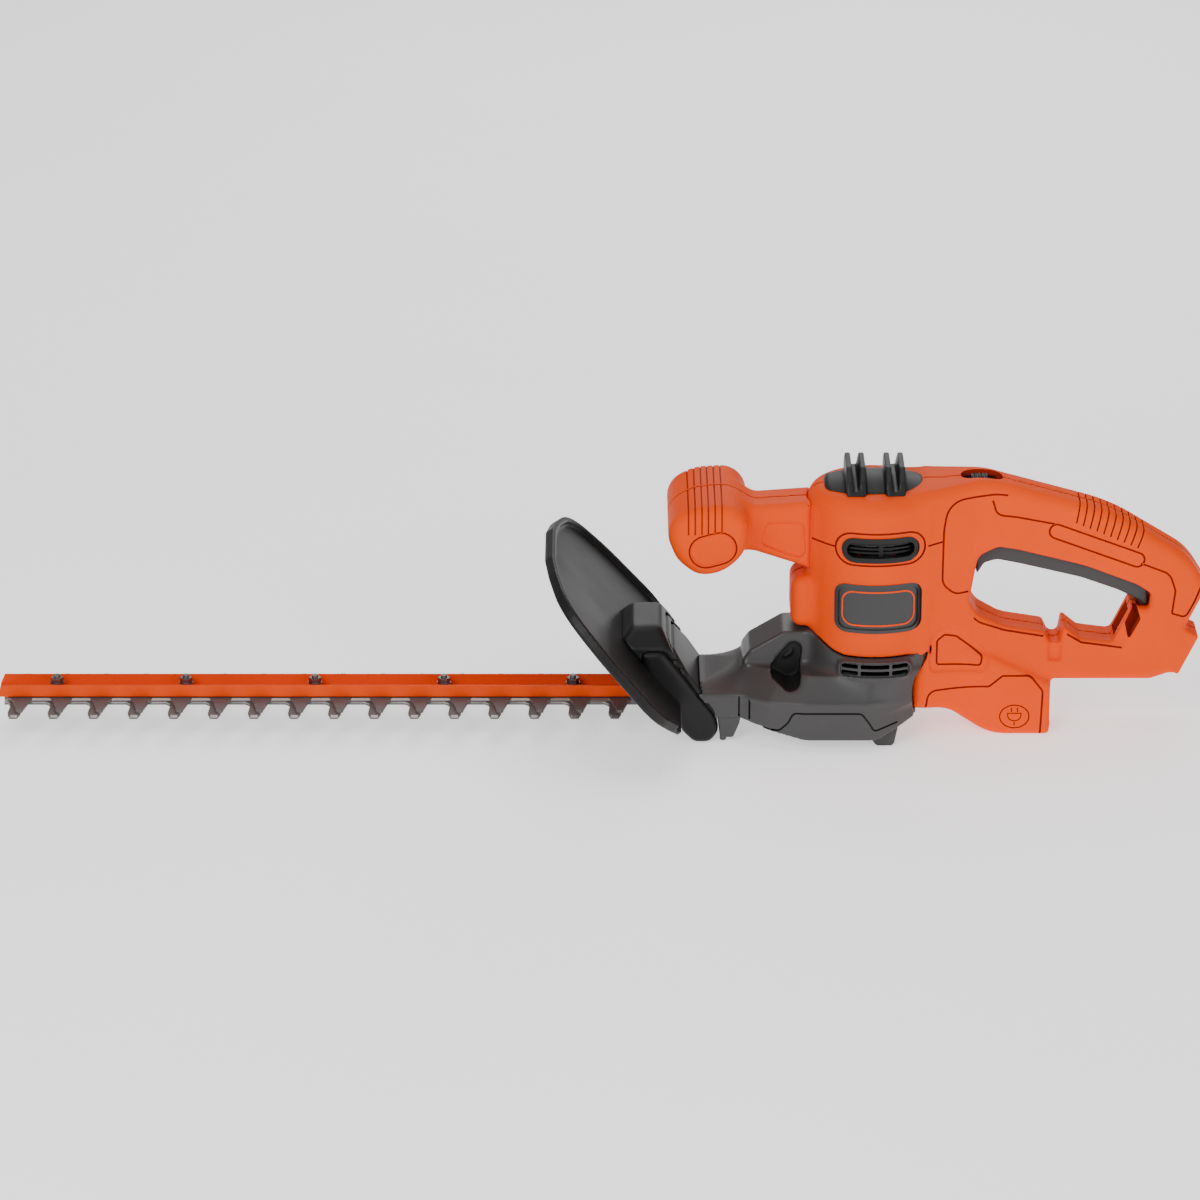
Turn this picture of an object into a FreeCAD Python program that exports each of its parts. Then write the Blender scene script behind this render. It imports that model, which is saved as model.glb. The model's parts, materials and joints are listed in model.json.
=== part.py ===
import FreeCAD, Part
import math
import os

# Hedge trimmer with a dual-action blade, built from separate named sub-parts.
# Millimetres. +X runs from the blade towards the rear handle, +Z is up and -Y is the side
# seen with the blade pointing left. The origin is the centre of the bottom of the bounding box.

# ---------------------------------------------------------------- driving dimensions
TOOTH_PITCH = 25.4
TOOTH_COUNT = 17
FIRST_TOOTH_X = -371.6
BLADE_THICKNESS = 1.9
LOWER_BLADE_Z = 17.6
UPPER_BLADE_Z = 19.6
UPPER_OFFSET = 3.2          # how far the upper teeth stand behind the lower ones at rest
SPINE_FRONT_X = -380.0
SPINE_HALF = 13.2
STROKE_HALF = 6.25          # each blade moves this far each way
REST_SHIFT = UPPER_OFFSET / 2

BAR_FRONT_X = -383.5
BAR_REAR_X = 95.0
BAR_HALF = 10.8
BAR_Z = 21.7
BAR_HEIGHT = 8.0
BAR_WALL = 1.5
BOLT_SPACING = 82.3
BOLT_COUNT = 6
FIRST_BOLT_X = -346.5

MOTOR_X = 173.0
GEAR_X = 136.0
MODULE = 1.0
PINION_TEETH = 9
GEAR_TEETH = 65
SHAFT_RADIUS = 4.0
PIN_RADIUS = 3.0
RUNNING_CLEARANCE = 0.04

DRUM_RADIUS = 42.0
DRUM_BOTTOM_Z = 61.6
DRUM_TOP_Z = 163.0
WALL = 2.5
HANDLE_HALF = 16.0
INLET_HALF = 21.0
FRONT_BLOCK_HALF = 20.0
GEARCASE_REAR_X = 203.8
GEARCASE_TOP_Z = 61.4
SKIRT_TOP_Z = 33.0

GUARD_TOP = (-33.0, 121.0)  # x and z of the shield's top edge
GUARD_FOOT = (51.0, 25.4)   # x and z of the shield's bottom edge
GUARD_THICKNESS = 3.0
GUARD_RIM = 3.5

TRIGGER_PIVOT = (247.0, 127.0)
TRIGGER_HALF = 9.0
PLUNGER_X = 288.0

OUTSIDE = 400.0             # longer than any part, for cutting tools


# ---------------------------------------------------------------- shape helpers
def vector(x, y, z):
    return FreeCAD.Vector(x, y, z)


def box(x_low, x_high, y_low, y_high, z_low, z_high):
    return Part.makeBox(x_high - x_low, y_high - y_low, z_high - z_low, vector(x_low, y_low, z_low))


def post(x, y, z_low, z_high, radius):
    """Round bar standing along Z."""
    return Part.makeCylinder(radius, z_high - z_low, vector(x, y, z_low), vector(0, 0, 1))


def cross_rod(x, z, y_low, y_high, radius):
    """Round bar lying along Y."""
    return Part.makeCylinder(radius, y_high - y_low, vector(x, y_low, z), vector(0, 1, 0))


def ring(x, z_low, z_high, outer, inner):
    return post(x, 0, z_low, z_high, outer).cut(post(x, 0, z_low - 1, z_high + 1, inner))


def rounded_wire(corners, place):
    """Closed wire through corners (a, b, radius); place turns (a, b) into a point in space."""
    points = [FreeCAD.Vector(a, b, 0) for a, b, radius in corners]
    stretches = []
    for index, (a, b, radius) in enumerate(corners):
        here = points[index]
        back = (points[index - 1] - here).normalize()
        ahead = (points[(index + 1) % len(points)] - here).normalize()
        half_angle = back.getAngle(ahead) / 2
        reach = radius / math.tan(half_angle)
        inward = (back + ahead).normalize()
        middle = here + inward * (radius / math.sin(half_angle) - radius)
        stretches.append([place(p) for p in (here + back * reach, middle, here + ahead * reach)])
    edges = []
    for index, (start, middle, end) in enumerate(stretches):
        previous_end = stretches[index - 1][2]
        if previous_end.distanceToPoint(start) > 1e-4:
            edges.append(Part.makeLine(previous_end, start))
        if start.distanceToPoint(end) > 1e-4:
            edges.append(Part.Arc(start, middle, end).toShape())
    return Part.Wire(edges)


def side_face(corners, y=0.0):
    return Part.Face(rounded_wire(corners, lambda p: vector(p.x, y, p.y)))


def side_prism(corners, half_width):
    """Outline in X and Z, as thick as half_width each side of the middle plane."""
    return side_face(corners, -half_width).extrude(vector(0, 2 * half_width, 0))


def plan_face(corners, z):
    return Part.Face(rounded_wire(corners, lambda p: vector(p.x, p.y, z)))


def plan_prism(corners, z_low, z_high):
    """Outline in X and Y between two heights."""
    return plan_face(corners, z_low).extrude(vector(0, 0, z_high - z_low))


def front_prism(corners, x_low, x_high):
    """Outline in Y and Z between two places along X."""
    face = Part.Face(rounded_wire(corners, lambda p: vector(x_low, p.x, p.y)))
    return face.extrude(vector(x_high - x_low, 0, 0))


def both_sides(half):
    """Mirror a half outline of (x, y, radius) corners, given at positive y, about y = 0."""
    return half + [(x, -y, radius) for x, y, radius in reversed(half)]


def fuse(shapes):
    return shapes[0].multiFuse(shapes[1:]).removeSplitter()


def group(shapes):
    return Part.makeCompound(shapes)


def near_half(shape):
    return shape.common(box(-OUTSIDE, OUTSIDE, -OUTSIDE, 0, -OUTSIDE, OUTSIDE))


def far_half(shape):
    return shape.common(box(-OUTSIDE, OUTSIDE, 0, OUTSIDE, -OUTSIDE, OUTSIDE))


# ---------------------------------------------------------------- cutting gear
def bolt_places():
    return [FIRST_BOLT_X + BOLT_SPACING * index for index in range(BOLT_COUNT)]


def blade_outline(first_tooth_x, tooth_points):
    """One side of a blade, front to back, with the tooth shape repeated at the pitch."""
    half = [(SPINE_FRONT_X, 6.0, 2.0), (SPINE_FRONT_X + 4.0, SPINE_HALF, 2.0)]
    for index in range(TOOTH_COUNT):
        centre = first_tooth_x + TOOTH_PITCH * index
        half += [(centre - x, y, radius) for x, y, radius in tooth_points]
        half += [(centre + x, y, radius) for x, y, radius in reversed(tooth_points)]
    half += [(98.0, SPINE_HALF, 3.0), (104.0, 23.0, 3.0), (169.0, 23.0, 3.0)]
    return both_sides(half)


def blade(first_tooth_x, tooth_points, z_low):
    """Stamped double-edged blade: teeth, bolt slots and the yoke that the cam works in."""
    z_high = z_low + BLADE_THICKNESS
    plate = plan_prism(blade_outline(first_tooth_x, tooth_points), z_low, z_high)
    slots = []
    reach = STROKE_HALF + REST_SHIFT + 0.4
    for x in bolt_places():
        slot = [(x - reach - 3.8, -3.8, 3.7), (x + reach + 3.8, -3.8, 3.7),
                (x + reach + 3.8, 3.8, 3.7), (x - reach - 3.8, 3.8, 3.7)]
        slots.append(plan_prism(slot, z_low - 1, z_high + 1))
    window = [(110.5, -17.4, 2), (161.5, -17.4, 2), (161.5, 17.4, 2), (110.5, 17.4, 2)]
    slots.append(plan_prism(window, z_low - 1, z_high + 1))
    return plate.cut(group(slots))


def lower_blade():
    tooth = [(7.0, SPINE_HALF, 1.5), (3.6, 15.0, 1.5), (4.1, 29.0, 3.0), (2.9, 38.6, 0.8)]
    return blade(FIRST_TOOTH_X, tooth, LOWER_BLADE_Z)


def upper_blade():
    tooth = [(5.6, SPINE_HALF, 1.0), (4.6, 15.2, 1.0), (1.9, 33.3, 0.4)]
    return blade(FIRST_TOOTH_X + UPPER_OFFSET, tooth, UPPER_BLADE_Z)


def blade_bar():
    """Channel-section bar, open upwards, that carries both blades."""
    outer = [(-BAR_HALF, BAR_Z, 1.2), (BAR_HALF, BAR_Z, 1.2),
             (BAR_HALF, BAR_Z + BAR_HEIGHT, 0), (-BAR_HALF, BAR_Z + BAR_HEIGHT, 0)]
    inner_half = BAR_HALF - BAR_WALL
    channel = box(BAR_FRONT_X - 1, BAR_REAR_X + 1, -inner_half, inner_half,
                  BAR_Z + BAR_WALL, BAR_Z + BAR_HEIGHT + 1)
    bar = front_prism(outer, BAR_FRONT_X, BAR_REAR_X).cut(channel)
    slanted_end = side_prism([(BAR_FRONT_X - 5, BAR_Z + 2, 0), (BAR_FRONT_X, BAR_Z + 2, 0),
                              (BAR_FRONT_X + 3, BAR_Z + BAR_HEIGHT + 1, 0),
                              (BAR_FRONT_X - 5, BAR_Z + BAR_HEIGHT + 1, 0)], BAR_HALF + 1)
    holes = [post(x, 0, BAR_Z - 1, BAR_Z + 3, 2.1) for x in bolt_places()]
    return bar.cut(group(holes + [slanted_end]))


def blade_bolts():
    bolts = []
    for x in bolt_places():
        head = post(x, 0, 15.3, 17.3, 4.2).fuse(post(x, 0, 17.3, 33.2, 2.0))
        socket = post(x, 0, 14.0, 16.2, 1.5)
        bolts.append(head.cut(socket).removeSplitter())
    return group(bolts)


def bolt_sleeves():
    """Bushes in the blades' slots, which take the wear."""
    return group([ring(x, 17.3, BAR_Z, 3.4, 2.0) for x in bolt_places()])


def bolt_spacers():
    return group([ring(x, BAR_Z + BAR_WALL, 27.6, 3.0, 2.0) for x in bolt_places()])


def flange_nuts():
    nuts = []
    for x in bolt_places():
        hexagon = Part.makePolygon([vector(x + 4.0 * math.cos(math.radians(60 * k)),
                                           4.0 * math.sin(math.radians(60 * k)), 28.4)
                                    for k in range(7)])
        nut = Part.Face(hexagon).extrude(vector(0, 0, 3.0)).fuse(post(x, 0, 27.6, 28.4, 4.5))
        nuts.append(nut.cut(post(x, 0, 27, 32, 2.0)).removeSplitter())
    return group(nuts)


# ---------------------------------------------------------------- drive
def spur_teeth(x, z_low, z_high, count, first_angle):
    """Toothed disc with straight-flanked teeth, thin enough to leave backlash."""
    pitch_radius = MODULE * count / 2
    root, tip = pitch_radius - 1.25 * MODULE, pitch_radius + 0.8 * MODULE
    root_half, tip_half = 0.95 * MODULE, 0.32 * MODULE
    points = []
    for index in range(count):
        angle = math.radians(first_angle + 360.0 * index / count)
        for radius, across in ((root, -root_half), (tip, -tip_half), (tip, tip_half), (root, root_half)):
            points.append(vector(x + radius * math.cos(angle) - across * math.sin(angle),
                                 radius * math.sin(angle) + across * math.cos(angle), z_low))
    points.append(points[0])
    return Part.Face(Part.makePolygon(points)).extrude(vector(0, 0, z_high - z_low))


def drive_gear():
    disc = spur_teeth(GEAR_X, 25.2, 31.2, GEAR_TEETH, 0.0)
    hub = post(GEAR_X, 0, 22.0, 32.6, 12.0)
    holes = [post(GEAR_X, 0, 15, 40, PIN_RADIUS + RUNNING_CLEARANCE)]
    for index in range(6):
        angle = math.radians(60 * index)
        holes.append(post(GEAR_X + 21 * math.cos(angle), 21 * math.sin(angle), 20, 40, 5.5))
    return disc.fuse(hub).cut(group(holes)).removeSplitter()


def cam(side, z_low, z_high):
    """Round cam standing off the gear's axis: +1 drives the upper blade, -1 the lower."""
    x = GEAR_X + side * REST_SHIFT
    y = side * math.sqrt(STROKE_HALF ** 2 - REST_SHIFT ** 2)
    disc = post(x, y, z_low, z_high, 10.5)
    return disc.cut(post(GEAR_X, 0, z_low - 1, z_high + 1, PIN_RADIUS + RUNNING_CLEARANCE))


def cams():
    return group([cam(1, UPPER_BLADE_Z, 22.0), cam(-1, LOWER_BLADE_Z - 0.2, UPPER_BLADE_Z)])


def gear_pin():
    return post(GEAR_X, 0, 8.8, 40.0, PIN_RADIUS)


def pinion():
    teeth = spur_teeth(MOTOR_X, 24.5, 33.0, PINION_TEETH, 180.0 + 180.0 / PINION_TEETH)
    return teeth.cut(post(MOTOR_X, 0, 20, 40, 2.0))


def motor_shaft():
    body = post(MOTOR_X, 0, 33.0, 157.5, SHAFT_RADIUS)
    return body.fuse(post(MOTOR_X, 0, 24.0, 33.0, 2.0)).removeSplitter()


def shaft_bearing(z_low, z_high, outer):
    return ring(MOTOR_X, z_low, z_high, outer, SHAFT_RADIUS + RUNNING_CLEARANCE)


def fan():
    disc = post(MOTOR_X, 0, 48.5, 50.0, 27.5).fuse(post(MOTOR_X, 0, 48.5, 60.0, 9.0))
    vanes = []
    for index in range(12):
        vane = box(MOTOR_X + 8, MOTOR_X + 27, -0.8, 0.8, 49.5, 58.0)
        vane.rotate(vector(MOTOR_X, 0, 0), vector(0, 0, 1), 30.0 * index)
        vanes.append(vane)
    return fuse([disc] + vanes).cut(post(MOTOR_X, 0, 40, 70, SHAFT_RADIUS))


def motor_can():
    can = ring(MOTOR_X, 66.0, 134.0, 29.0, 27.2)
    floor = ring(MOTOR_X, 66.0, 67.5, 28.0, 12.0)
    return can.fuse(floor).removeSplitter()


def magnets():
    tube = ring(MOTOR_X, 76.0, 124.0, 27.2, 23.2)
    gap = box(MOTOR_X - 60, MOTOR_X + 60, -6, 6, 70, 130)
    return tube.cut(gap)


def armature():
    core = ring(MOTOR_X, 80.0, 120.0, 22.0, SHAFT_RADIUS)
    slots = []
    for index in range(12):
        slot = box(MOTOR_X + 12, MOTOR_X + 24, -1.5, 1.5, 79, 121)
        slot.rotate(vector(MOTOR_X, 0, 0), vector(0, 0, 1), 30.0 * index)
        slots.append(slot)
    return core.cut(group(slots))


def windings():
    return group([ring(MOTOR_X, 72.0, 80.0, 19.0, 5.5), ring(MOTOR_X, 120.0, 128.0, 19.0, 5.5)])


def commutator():
    return ring(MOTOR_X, 137.0, 148.0, 10.0, SHAFT_RADIUS)


def brush_carrier():
    plate = ring(MOTOR_X, 134.0, 136.5, 28.9, 12.0)
    holders = []
    for side in (-1, 1):
        x_low, x_high = sorted((MOTOR_X + side * 12.5, MOTOR_X + side * 26.0))
        holder = box(x_low, x_high, -5, 5, 136.5, 148.0)
        holders.append(holder.cut(box(x_low - 1, x_high + 1, -3.2, 3.2, 138.8, 146.2)))
    return fuse([plate] + holders)


def brushes():
    blocks = []
    for side in (-1, 1):
        x_low, x_high = sorted((MOTOR_X + side * 10.3, MOTOR_X + side * 22.0))
        blocks.append(box(x_low, x_high, -3.0, 3.0, 139.0, 146.0))
    return group(blocks)


# ---------------------------------------------------------------- orange housing
HANDLE_OUTLINE = [(176, 158, 0), (202, 158, 0), (205, 167, 1.5), (243, 169.5, 50), (322, 148, 110),
                  (372, 117.5, 40), (384.6, 97, 9), (369.5, 66, 5), (373, 57, 4), (364, 39.5, 3),
                  (350, 34.5, 10), (286, 34.5, 1.5), (286, 0, 3), (247, 0, 12), (219, 19.5, 8),
                  (204, 20.5, 2), (204, 100, 0), (176, 100, 0)]
FINGER_OPENING = [(233.5, 90, 6), (237.5, 121, 8), (250, 127.5, 8), (264, 124.5, 30), (306, 113, 60),
                  (340, 99, 20), (348.5, 93, 3), (347.5, 83.5, 2), (339.5, 82.5, 1), (332.5, 68, 2),
                  (331, 60, 2), (304, 63.5, 3), (293.5, 72, 1.2), (291.5, 60, 2), (285.5, 60, 2),
                  (281.5, 67.8, 2), (255, 72, 30), (239, 80, 12)]
INLET_BOX = [(286, 0, 3), (247, 0, 12), (219, 19.5, 8), (204, 20.5, 2), (204, 52, 4), (232, 60, 10),
             (262, 46, 6), (286, 34.4, 2)]
FRONT_BLOCK = [(120.5, 72, 5), (120.5, 105, 5), (133.2, 106, 0), (133.2, 157, 3), (146, 163, 4),
               (165, 163, 0), (165, 72, 0)]
TUNNEL_CENTRE = (352.0, 61.7)
TUNNEL_TILT = 25.9
BOSSES = [(222, 150), (318, 138), (366, 98), (226, 62), (312, 48), (127, 86), (252, 149)]
TRIGGER_SLOT = [(235.3, 100.5, 0), (235.3, 141, 0), (262, 141, 0), (310, 128, 0), (351, 106, 0),
                (351, 81.5, 0), (343, 81.5, 0), (330, 92, 0), (262, 108, 0), (245, 107, 0)]
VENT = [(151.5, 123.5, 7.4), (200.5, 123.5, 7.4), (200.5, 139.5, 7.4), (151.5, 139.5, 7.4)]
VENT_OPENING = [(155.0, 127.0, 4.4), (197.0, 127.0, 4.4), (197.0, 136.2, 4.4), (155.0, 136.2, 4.4)]
BADGE = [(147.5, 76.5, 7), (202.5, 76.5, 7), (202.5, 108.5, 7), (147.5, 108.5, 7)]


def tunnel(length, half_width, half_height):
    """Slanted channel through the handle's rear corner, for a loop of extension cord."""
    x, z = TUNNEL_CENTRE
    bar = box(x - length / 2, x + length / 2, -half_width, half_width, z - half_height, z + half_height)
    bar.rotate(vector(x, 0, z), vector(0, 1, 0), TUNNEL_TILT)
    return bar


def handle_profile():
    return side_face(HANDLE_OUTLINE).cut(side_face(FINGER_OPENING)).Faces[0]


def extrude_both_ways(face, half_width):
    face = face.copy()
    face.translate(vector(0, -half_width, 0))
    return face.extrude(vector(0, 2 * half_width, 0))


def fairing_plan(inset, z_low, z_high):
    half = [(176 + inset, 31 - inset, 0), (206, 30 - inset, 8), (236, 19 - inset, 8), (252, 14 - inset, 0)]
    return plan_prism(both_sides(half), z_low, z_high)


def drum(radius, z_low, z_high, crown):
    body = post(MOTOR_X, 0, z_low, z_high, radius)
    rim = [edge for edge in body.Edges if abs(edge.BoundBox.ZMin - z_high) < 0.01
           and abs(edge.BoundBox.ZMax - z_high) < 0.01]
    return body.makeFillet(crown, rim)


def housing_envelope():
    profile = handle_profile()
    fairing = extrude_both_ways(profile, 35).common(fairing_plan(0.0, 0, OUTSIDE))
    inlet = side_prism(INLET_BOX, INLET_HALF)
    return fuse([drum(DRUM_RADIUS, DRUM_BOTTOM_Z, DRUM_TOP_Z, 12), extrude_both_ways(profile, HANDLE_HALF),
                 fairing, inlet, side_prism(FRONT_BLOCK, FRONT_BLOCK_HALF)])


def housing_cavity():
    profile = handle_profile().makeOffset2D(-WALL)
    inner_handle = extrude_both_ways(profile, HANDLE_HALF - WALL)
    inner_fairing = extrude_both_ways(profile, 35).common(fairing_plan(WALL, 0, OUTSIDE))
    inner_inlet = extrude_both_ways(side_face(INLET_BOX).makeOffset2D(-WALL), INLET_HALF - WALL)
    inner_block = extrude_both_ways(side_face(FRONT_BLOCK).makeOffset2D(-WALL), FRONT_BLOCK_HALF - WALL)
    inner_drum = drum(DRUM_RADIUS - WALL, DRUM_BOTTOM_Z - 1, DRUM_TOP_Z - WALL, 10)
    return fuse([inner_handle, inner_fairing, inner_inlet, inner_block, inner_drum])


def housing_supports():
    """Ribs inside the shell: motor rings, top bearing web, spring seat, screw bosses."""
    inner = DRUM_RADIUS - WALL + 0.5
    parts = [ring(MOTOR_X, 72.0, 75.0, inner, 29.1), ring(MOTOR_X, 116.0, 119.0, inner, 29.1),
             ring(MOTOR_X, 151.5, 155.5, inner, 8.0), ring(MOTOR_X, 155.5, 161.5, 12.0, 8.0)]
    parts.append(box(259, 272, -14.5, 14.5, 151.0, 153.0))
    for x, z in BOSSES:
        parts.append(cross_rod(x, z, -DRUM_RADIUS, DRUM_RADIUS, 4.5))
    parts.append(tunnel(58, 12.0, 13.0))
    return parts


def side_block(outline, side):
    """Outline in X and Z pushed through one side of the drum's wall."""
    return side_face(outline, 22.0 if side > 0 else -60.0).extrude(vector(0, 38, 0))


def housing_cuts():
    """Everything that opens the shell: vents, slots, screw holes and recesses."""
    cuts = [side_prism(TRIGGER_SLOT, TRIGGER_HALF + 0.5),
            box(227.5, 252.5, -7.2, 7.2, 165, 180),
            tunnel(90, 8.5, 9.8),
            box(276, 300, -14, 14, 5.2, 30.8)]
    for side in (-1, 1):
        for outline in (VENT, BADGE):
            cuts.append(side_block(outline, side).cut(post(MOTOR_X, 0, 60, 170, DRUM_RADIUS - 1.2)))
        cuts.append(side_block(VENT_OPENING, side))
    for x, z in BOSSES:
        cuts.append(cross_rod(x, z, -OUTSIDE, OUTSIDE, 1.6))
        cuts.append(cross_rod(x, z, 11.5, OUTSIDE, 3.6))
    cuts.append(cross_rod(TRIGGER_PIVOT[0], TRIGGER_PIVOT[1], -15.0, 15.0, 2.0))
    cuts += front_screw_rods(1.8)
    return cuts


def housing():
    envelope = housing_envelope()
    shell = envelope.cut(housing_cavity())
    supports = [part.common(envelope) for part in housing_supports()]
    shell = fuse([shell] + supports)
    return shell.cut(group(housing_cuts()))


def housing_screws():
    screws = []
    for x, z in BOSSES:
        head = cross_rod(x, z, 11.5, 13.5, 3.2)
        screws.append(head.fuse(cross_rod(x, z, -9.0, 11.5, 1.6)).removeSplitter())
    return group(screws)


# ---------------------------------------------------------------- front handle
KNOB_OUTLINE = [(46, 116.5, 16), (39.5, 146, 18), (54, 162.0, 16), (86, 160.5, 12), (92.5, 148, 12),
                (89, 121, 16), (68, 115.5, 18)]
NECK_OUTLINE = [(70, 124, 0), (98, 122.5, 8), (133, 110.5, 0), (133, 155, 0), (98, 152.5, 6),
                (80, 154, 0), (70, 154, 0)]
KNOB_HALF = 46.0
FRONT_SCREW_STARTS = [vector(123.6, 0, z) for z in (120.0, 145.0)]
NECK_HALF = 18.0


def front_handle():
    knob = side_prism(KNOB_OUTLINE, KNOB_HALF)
    rims = [edge for edge in knob.Edges if edge.BoundBox.YLength < 0.01]
    knob = knob.makeFillet(9.0, rims)
    body = knob.fuse(side_prism(NECK_OUTLINE, NECK_HALF))
    inner_knob = extrude_both_ways(side_face(KNOB_OUTLINE).makeOffset2D(-6.0), KNOB_HALF - 6.0)
    inner_neck = extrude_both_ways(side_face(NECK_OUTLINE).makeOffset2D(-WALL), NECK_HALF - WALL)
    hollow = inner_knob.fuse(inner_neck.common(box(0, 126, -60, 60, 0, OUTSIDE)))
    tools = [hollow, drum(DRUM_RADIUS + 0.1, DRUM_BOTTOM_Z, DRUM_TOP_Z, 12)] + front_screw_rods(1.8)
    return body.cut(group(tools)).removeSplitter()


def front_screw_rods(radius):
    """Shanks on the middle plane that draw the neck onto the body."""
    return [Part.makeCylinder(radius, 15.0, start, vector(1, 0, 0)) for start in FRONT_SCREW_STARTS]


def front_handle_screws():
    screws = []
    for start, shank in zip(FRONT_SCREW_STARTS, front_screw_rods(1.8)):
        head = Part.makeCylinder(3.5, 2.4, start, vector(1, 0, 0))
        screws.append(head.fuse(shank).removeSplitter())
    return group(screws)


# ---------------------------------------------------------------- gearcase
SKIRT_HALF_PLAN = [(54, 36, 0), (89, 36, 12), (107, 48, 12), (128, 52.7, 20), (172, 52.7, 16),
                   (188, 43, 10), (203.8, 30, 0)]
INNER_HALF_PLAN = [(98, 38, 4), (110, 45, 6), (129, 49.5, 10), (171, 49.5, 10), (186, 40.5, 6),
                   (200.5, 28, 2)]
COVER_GAP = 0.3
SKIRT_SIDE = [(54, 17.5, 0), (88, 17.5, 6), (130, 8, 30), (176, 8, 12), (203.8, 20, 0), (203.8, 33, 0),
              (54, 33, 0)]
HUMP_SIDE = [(91, 30, 0), (91, 51, 3), (95, 56.5, 3), (116, 69, 6), (130.4, 69.5, 0), (130.4, 30, 0)]
HUMP_HALF = 19.0
TUNNEL_HALF = 14.6
BLADE_TUNNEL_Z = (14.0, 34.2)


def deck():
    """Sloping top of the skirt, drawn in to the fan chamber's wall."""
    low = [(89, 35), (107, 47.5), (128, 52), (172, 52), (187, 43), (203.8, 30)]
    high = [(96, 17), (112, 30), (132, 41), (172, 44.5), (190, 40.5), (203.8, 30)]
    wires = []
    for half, z in ((low, SKIRT_TOP_Z), (high, 46.0)):
        loop = half + [(x, -y) for x, y in reversed(half)]
        points = [vector(x, y, z) for x, y in loop]
        wires.append(Part.makePolygon(points + [points[0]]))
    return Part.makeLoft(wires, True, True)


def neck_top():
    low = [(52, 35.5), (92, 35.5)]
    high = [(52, 22), (92, 22)]
    wires = []
    for half, z in ((low, SKIRT_TOP_Z), (high, 36.8)):
        loop = half + [(x, -y) for x, y in reversed(half)]
        points = [vector(x, y, z) for x, y in loop]
        wires.append(Part.makePolygon(points + [points[0]]))
    return Part.makeLoft(wires, True, True)


def gearcase_envelope():
    skirt = plan_prism(both_sides(SKIRT_HALF_PLAN), 5, SKIRT_TOP_Z).common(side_prism(SKIRT_SIDE, 60))
    chamber = post(MOTOR_X, 0, SKIRT_TOP_Z, GEARCASE_TOP_Z, 44.5)
    chamber = chamber.common(box(0, GEARCASE_REAR_X, -60, 60, 0, 80))
    hump = side_prism(HUMP_SIDE, HUMP_HALF)
    tabs = []
    for side in (-1, 1):
        y_low, y_high = sorted((side * 29.0, side * 36.0))
        tab = side_face([(75.5, 19, 0), (78, 3.2, 1), (87, 3.2, 1.5), (91, 19, 0)], y_low)
        tabs.append(tab.extrude(vector(0, y_high - y_low, 0)))
        tabs.append(post(80.5, side * 32.5, 0.2, 4.0, 2.4))
    return fuse([skirt, deck(), neck_top(), chamber, hump] + tabs)


def gearcase():
    gear_room = plan_prism(both_sides(INNER_HALF_PLAN), 0, SKIRT_TOP_Z)
    fan_room = post(MOTOR_X, 0, 45.0, 80.0, 41.8)
    fan_room = fan_room.common(box(0, GEARCASE_REAR_X - 2.5, -60, 60, 0, 80))
    hump_room = extrude_both_ways(side_face(HUMP_SIDE).makeOffset2D(-WALL), HUMP_HALF - WALL)
    hump_room = hump_room.common(box(0, 125, -60, 60, 44, 80))
    bearing_seat = post(MOTOR_X, 0, 36.4, 46.0, 11.0).fuse(post(MOTOR_X, 0, 30.0, 37.0, 7.0))
    blade_way = box(30, 94, -TUNNEL_HALF, TUNNEL_HALF, BLADE_TUNNEL_Z[0], BLADE_TUNNEL_Z[1])
    yoke_way = box(88.0, 112, -24.2, 24.2, BLADE_TUNNEL_Z[0], SKIRT_TOP_Z)
    cuts = [gear_room, fan_room, hump_room, bearing_seat, blade_way, yoke_way, gear_pin(), guard_bracket_envelope()]
    cuts += exhaust_slots()
    for x, y in GEARCASE_SCREWS:
        cuts.append(post(x, y, 12.0, 26.0, 1.6))
    bosses = [post(x, y, 15.6, 34.0, 4.0).cut(cover_plate()) for x, y in GEARCASE_SCREWS]
    body = gearcase_envelope().cut(group(cuts[:1]))
    body = fuse([body] + bosses)
    return body.cut(group(cuts[1:]))


def exhaust_slots():
    """Two rows of three slots on each side of the fan chamber."""
    slots = []
    for side in (-1, 1):
        y_low, y_high = sorted((side * 30.0, side * 60.0))
        for z_low, z_high in ((48.0, 51.6), (53.0, 56.6)):
            for x_low, x_high in ((152.0, 162.6), (163.8, 182.2), (183.4, 194.0)):
                slots.append(box(x_low, x_high, y_low, y_high, z_low, z_high))
    return slots


GEARCASE_SCREWS = [(118, 38), (118, -38), (184, 28), (184, -28)]


def cover_plate():
    """Plate that closes the gear room from below and follows the skirt's underside."""
    half = [(x, y - COVER_GAP, radius) for x, y, radius in INNER_HALF_PLAN]
    half[0] = (half[0][0] + COVER_GAP, half[0][1], half[0][2])
    half[-1] = (half[-1][0] - COVER_GAP, half[-1][1], half[-1][2])
    band = [(98, 15.2, 0), (130, 8, 30), (176, 8, 12), (203.8, 20, 0), (203.8, 23.5, 0), (176, 11.5, 12),
            (130, 11.5, 30), (112, 13.5, 0), (98, 16.7, 0)]
    return plan_prism(both_sides(half), 5.0, 26.0).common(side_prism(band, 60))


def bottom_cover():
    """Cover plate with two feet at its rear corners."""
    feet = []
    for side in (-1, 1):
        y_low, y_high = sorted((side * 28.0, side * 39.5))
        foot = side_face([(168, 10, 0), (175, 0, 3), (186, 0, 3), (188.5, 12, 0)], y_low)
        feet.append(foot.extrude(vector(0, y_high - y_low, 0)))
    holes = [post(x, y, 0, 22, 1.8) for x, y in GEARCASE_SCREWS]
    holes.append(post(GEAR_X, 0, 5, 20, PIN_RADIUS))
    return fuse([cover_plate()] + feet).cut(group(holes))


def gearcase_screws():
    return group([post(x, y, 8.4, 24.0, 1.6) for x, y in GEARCASE_SCREWS])


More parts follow.
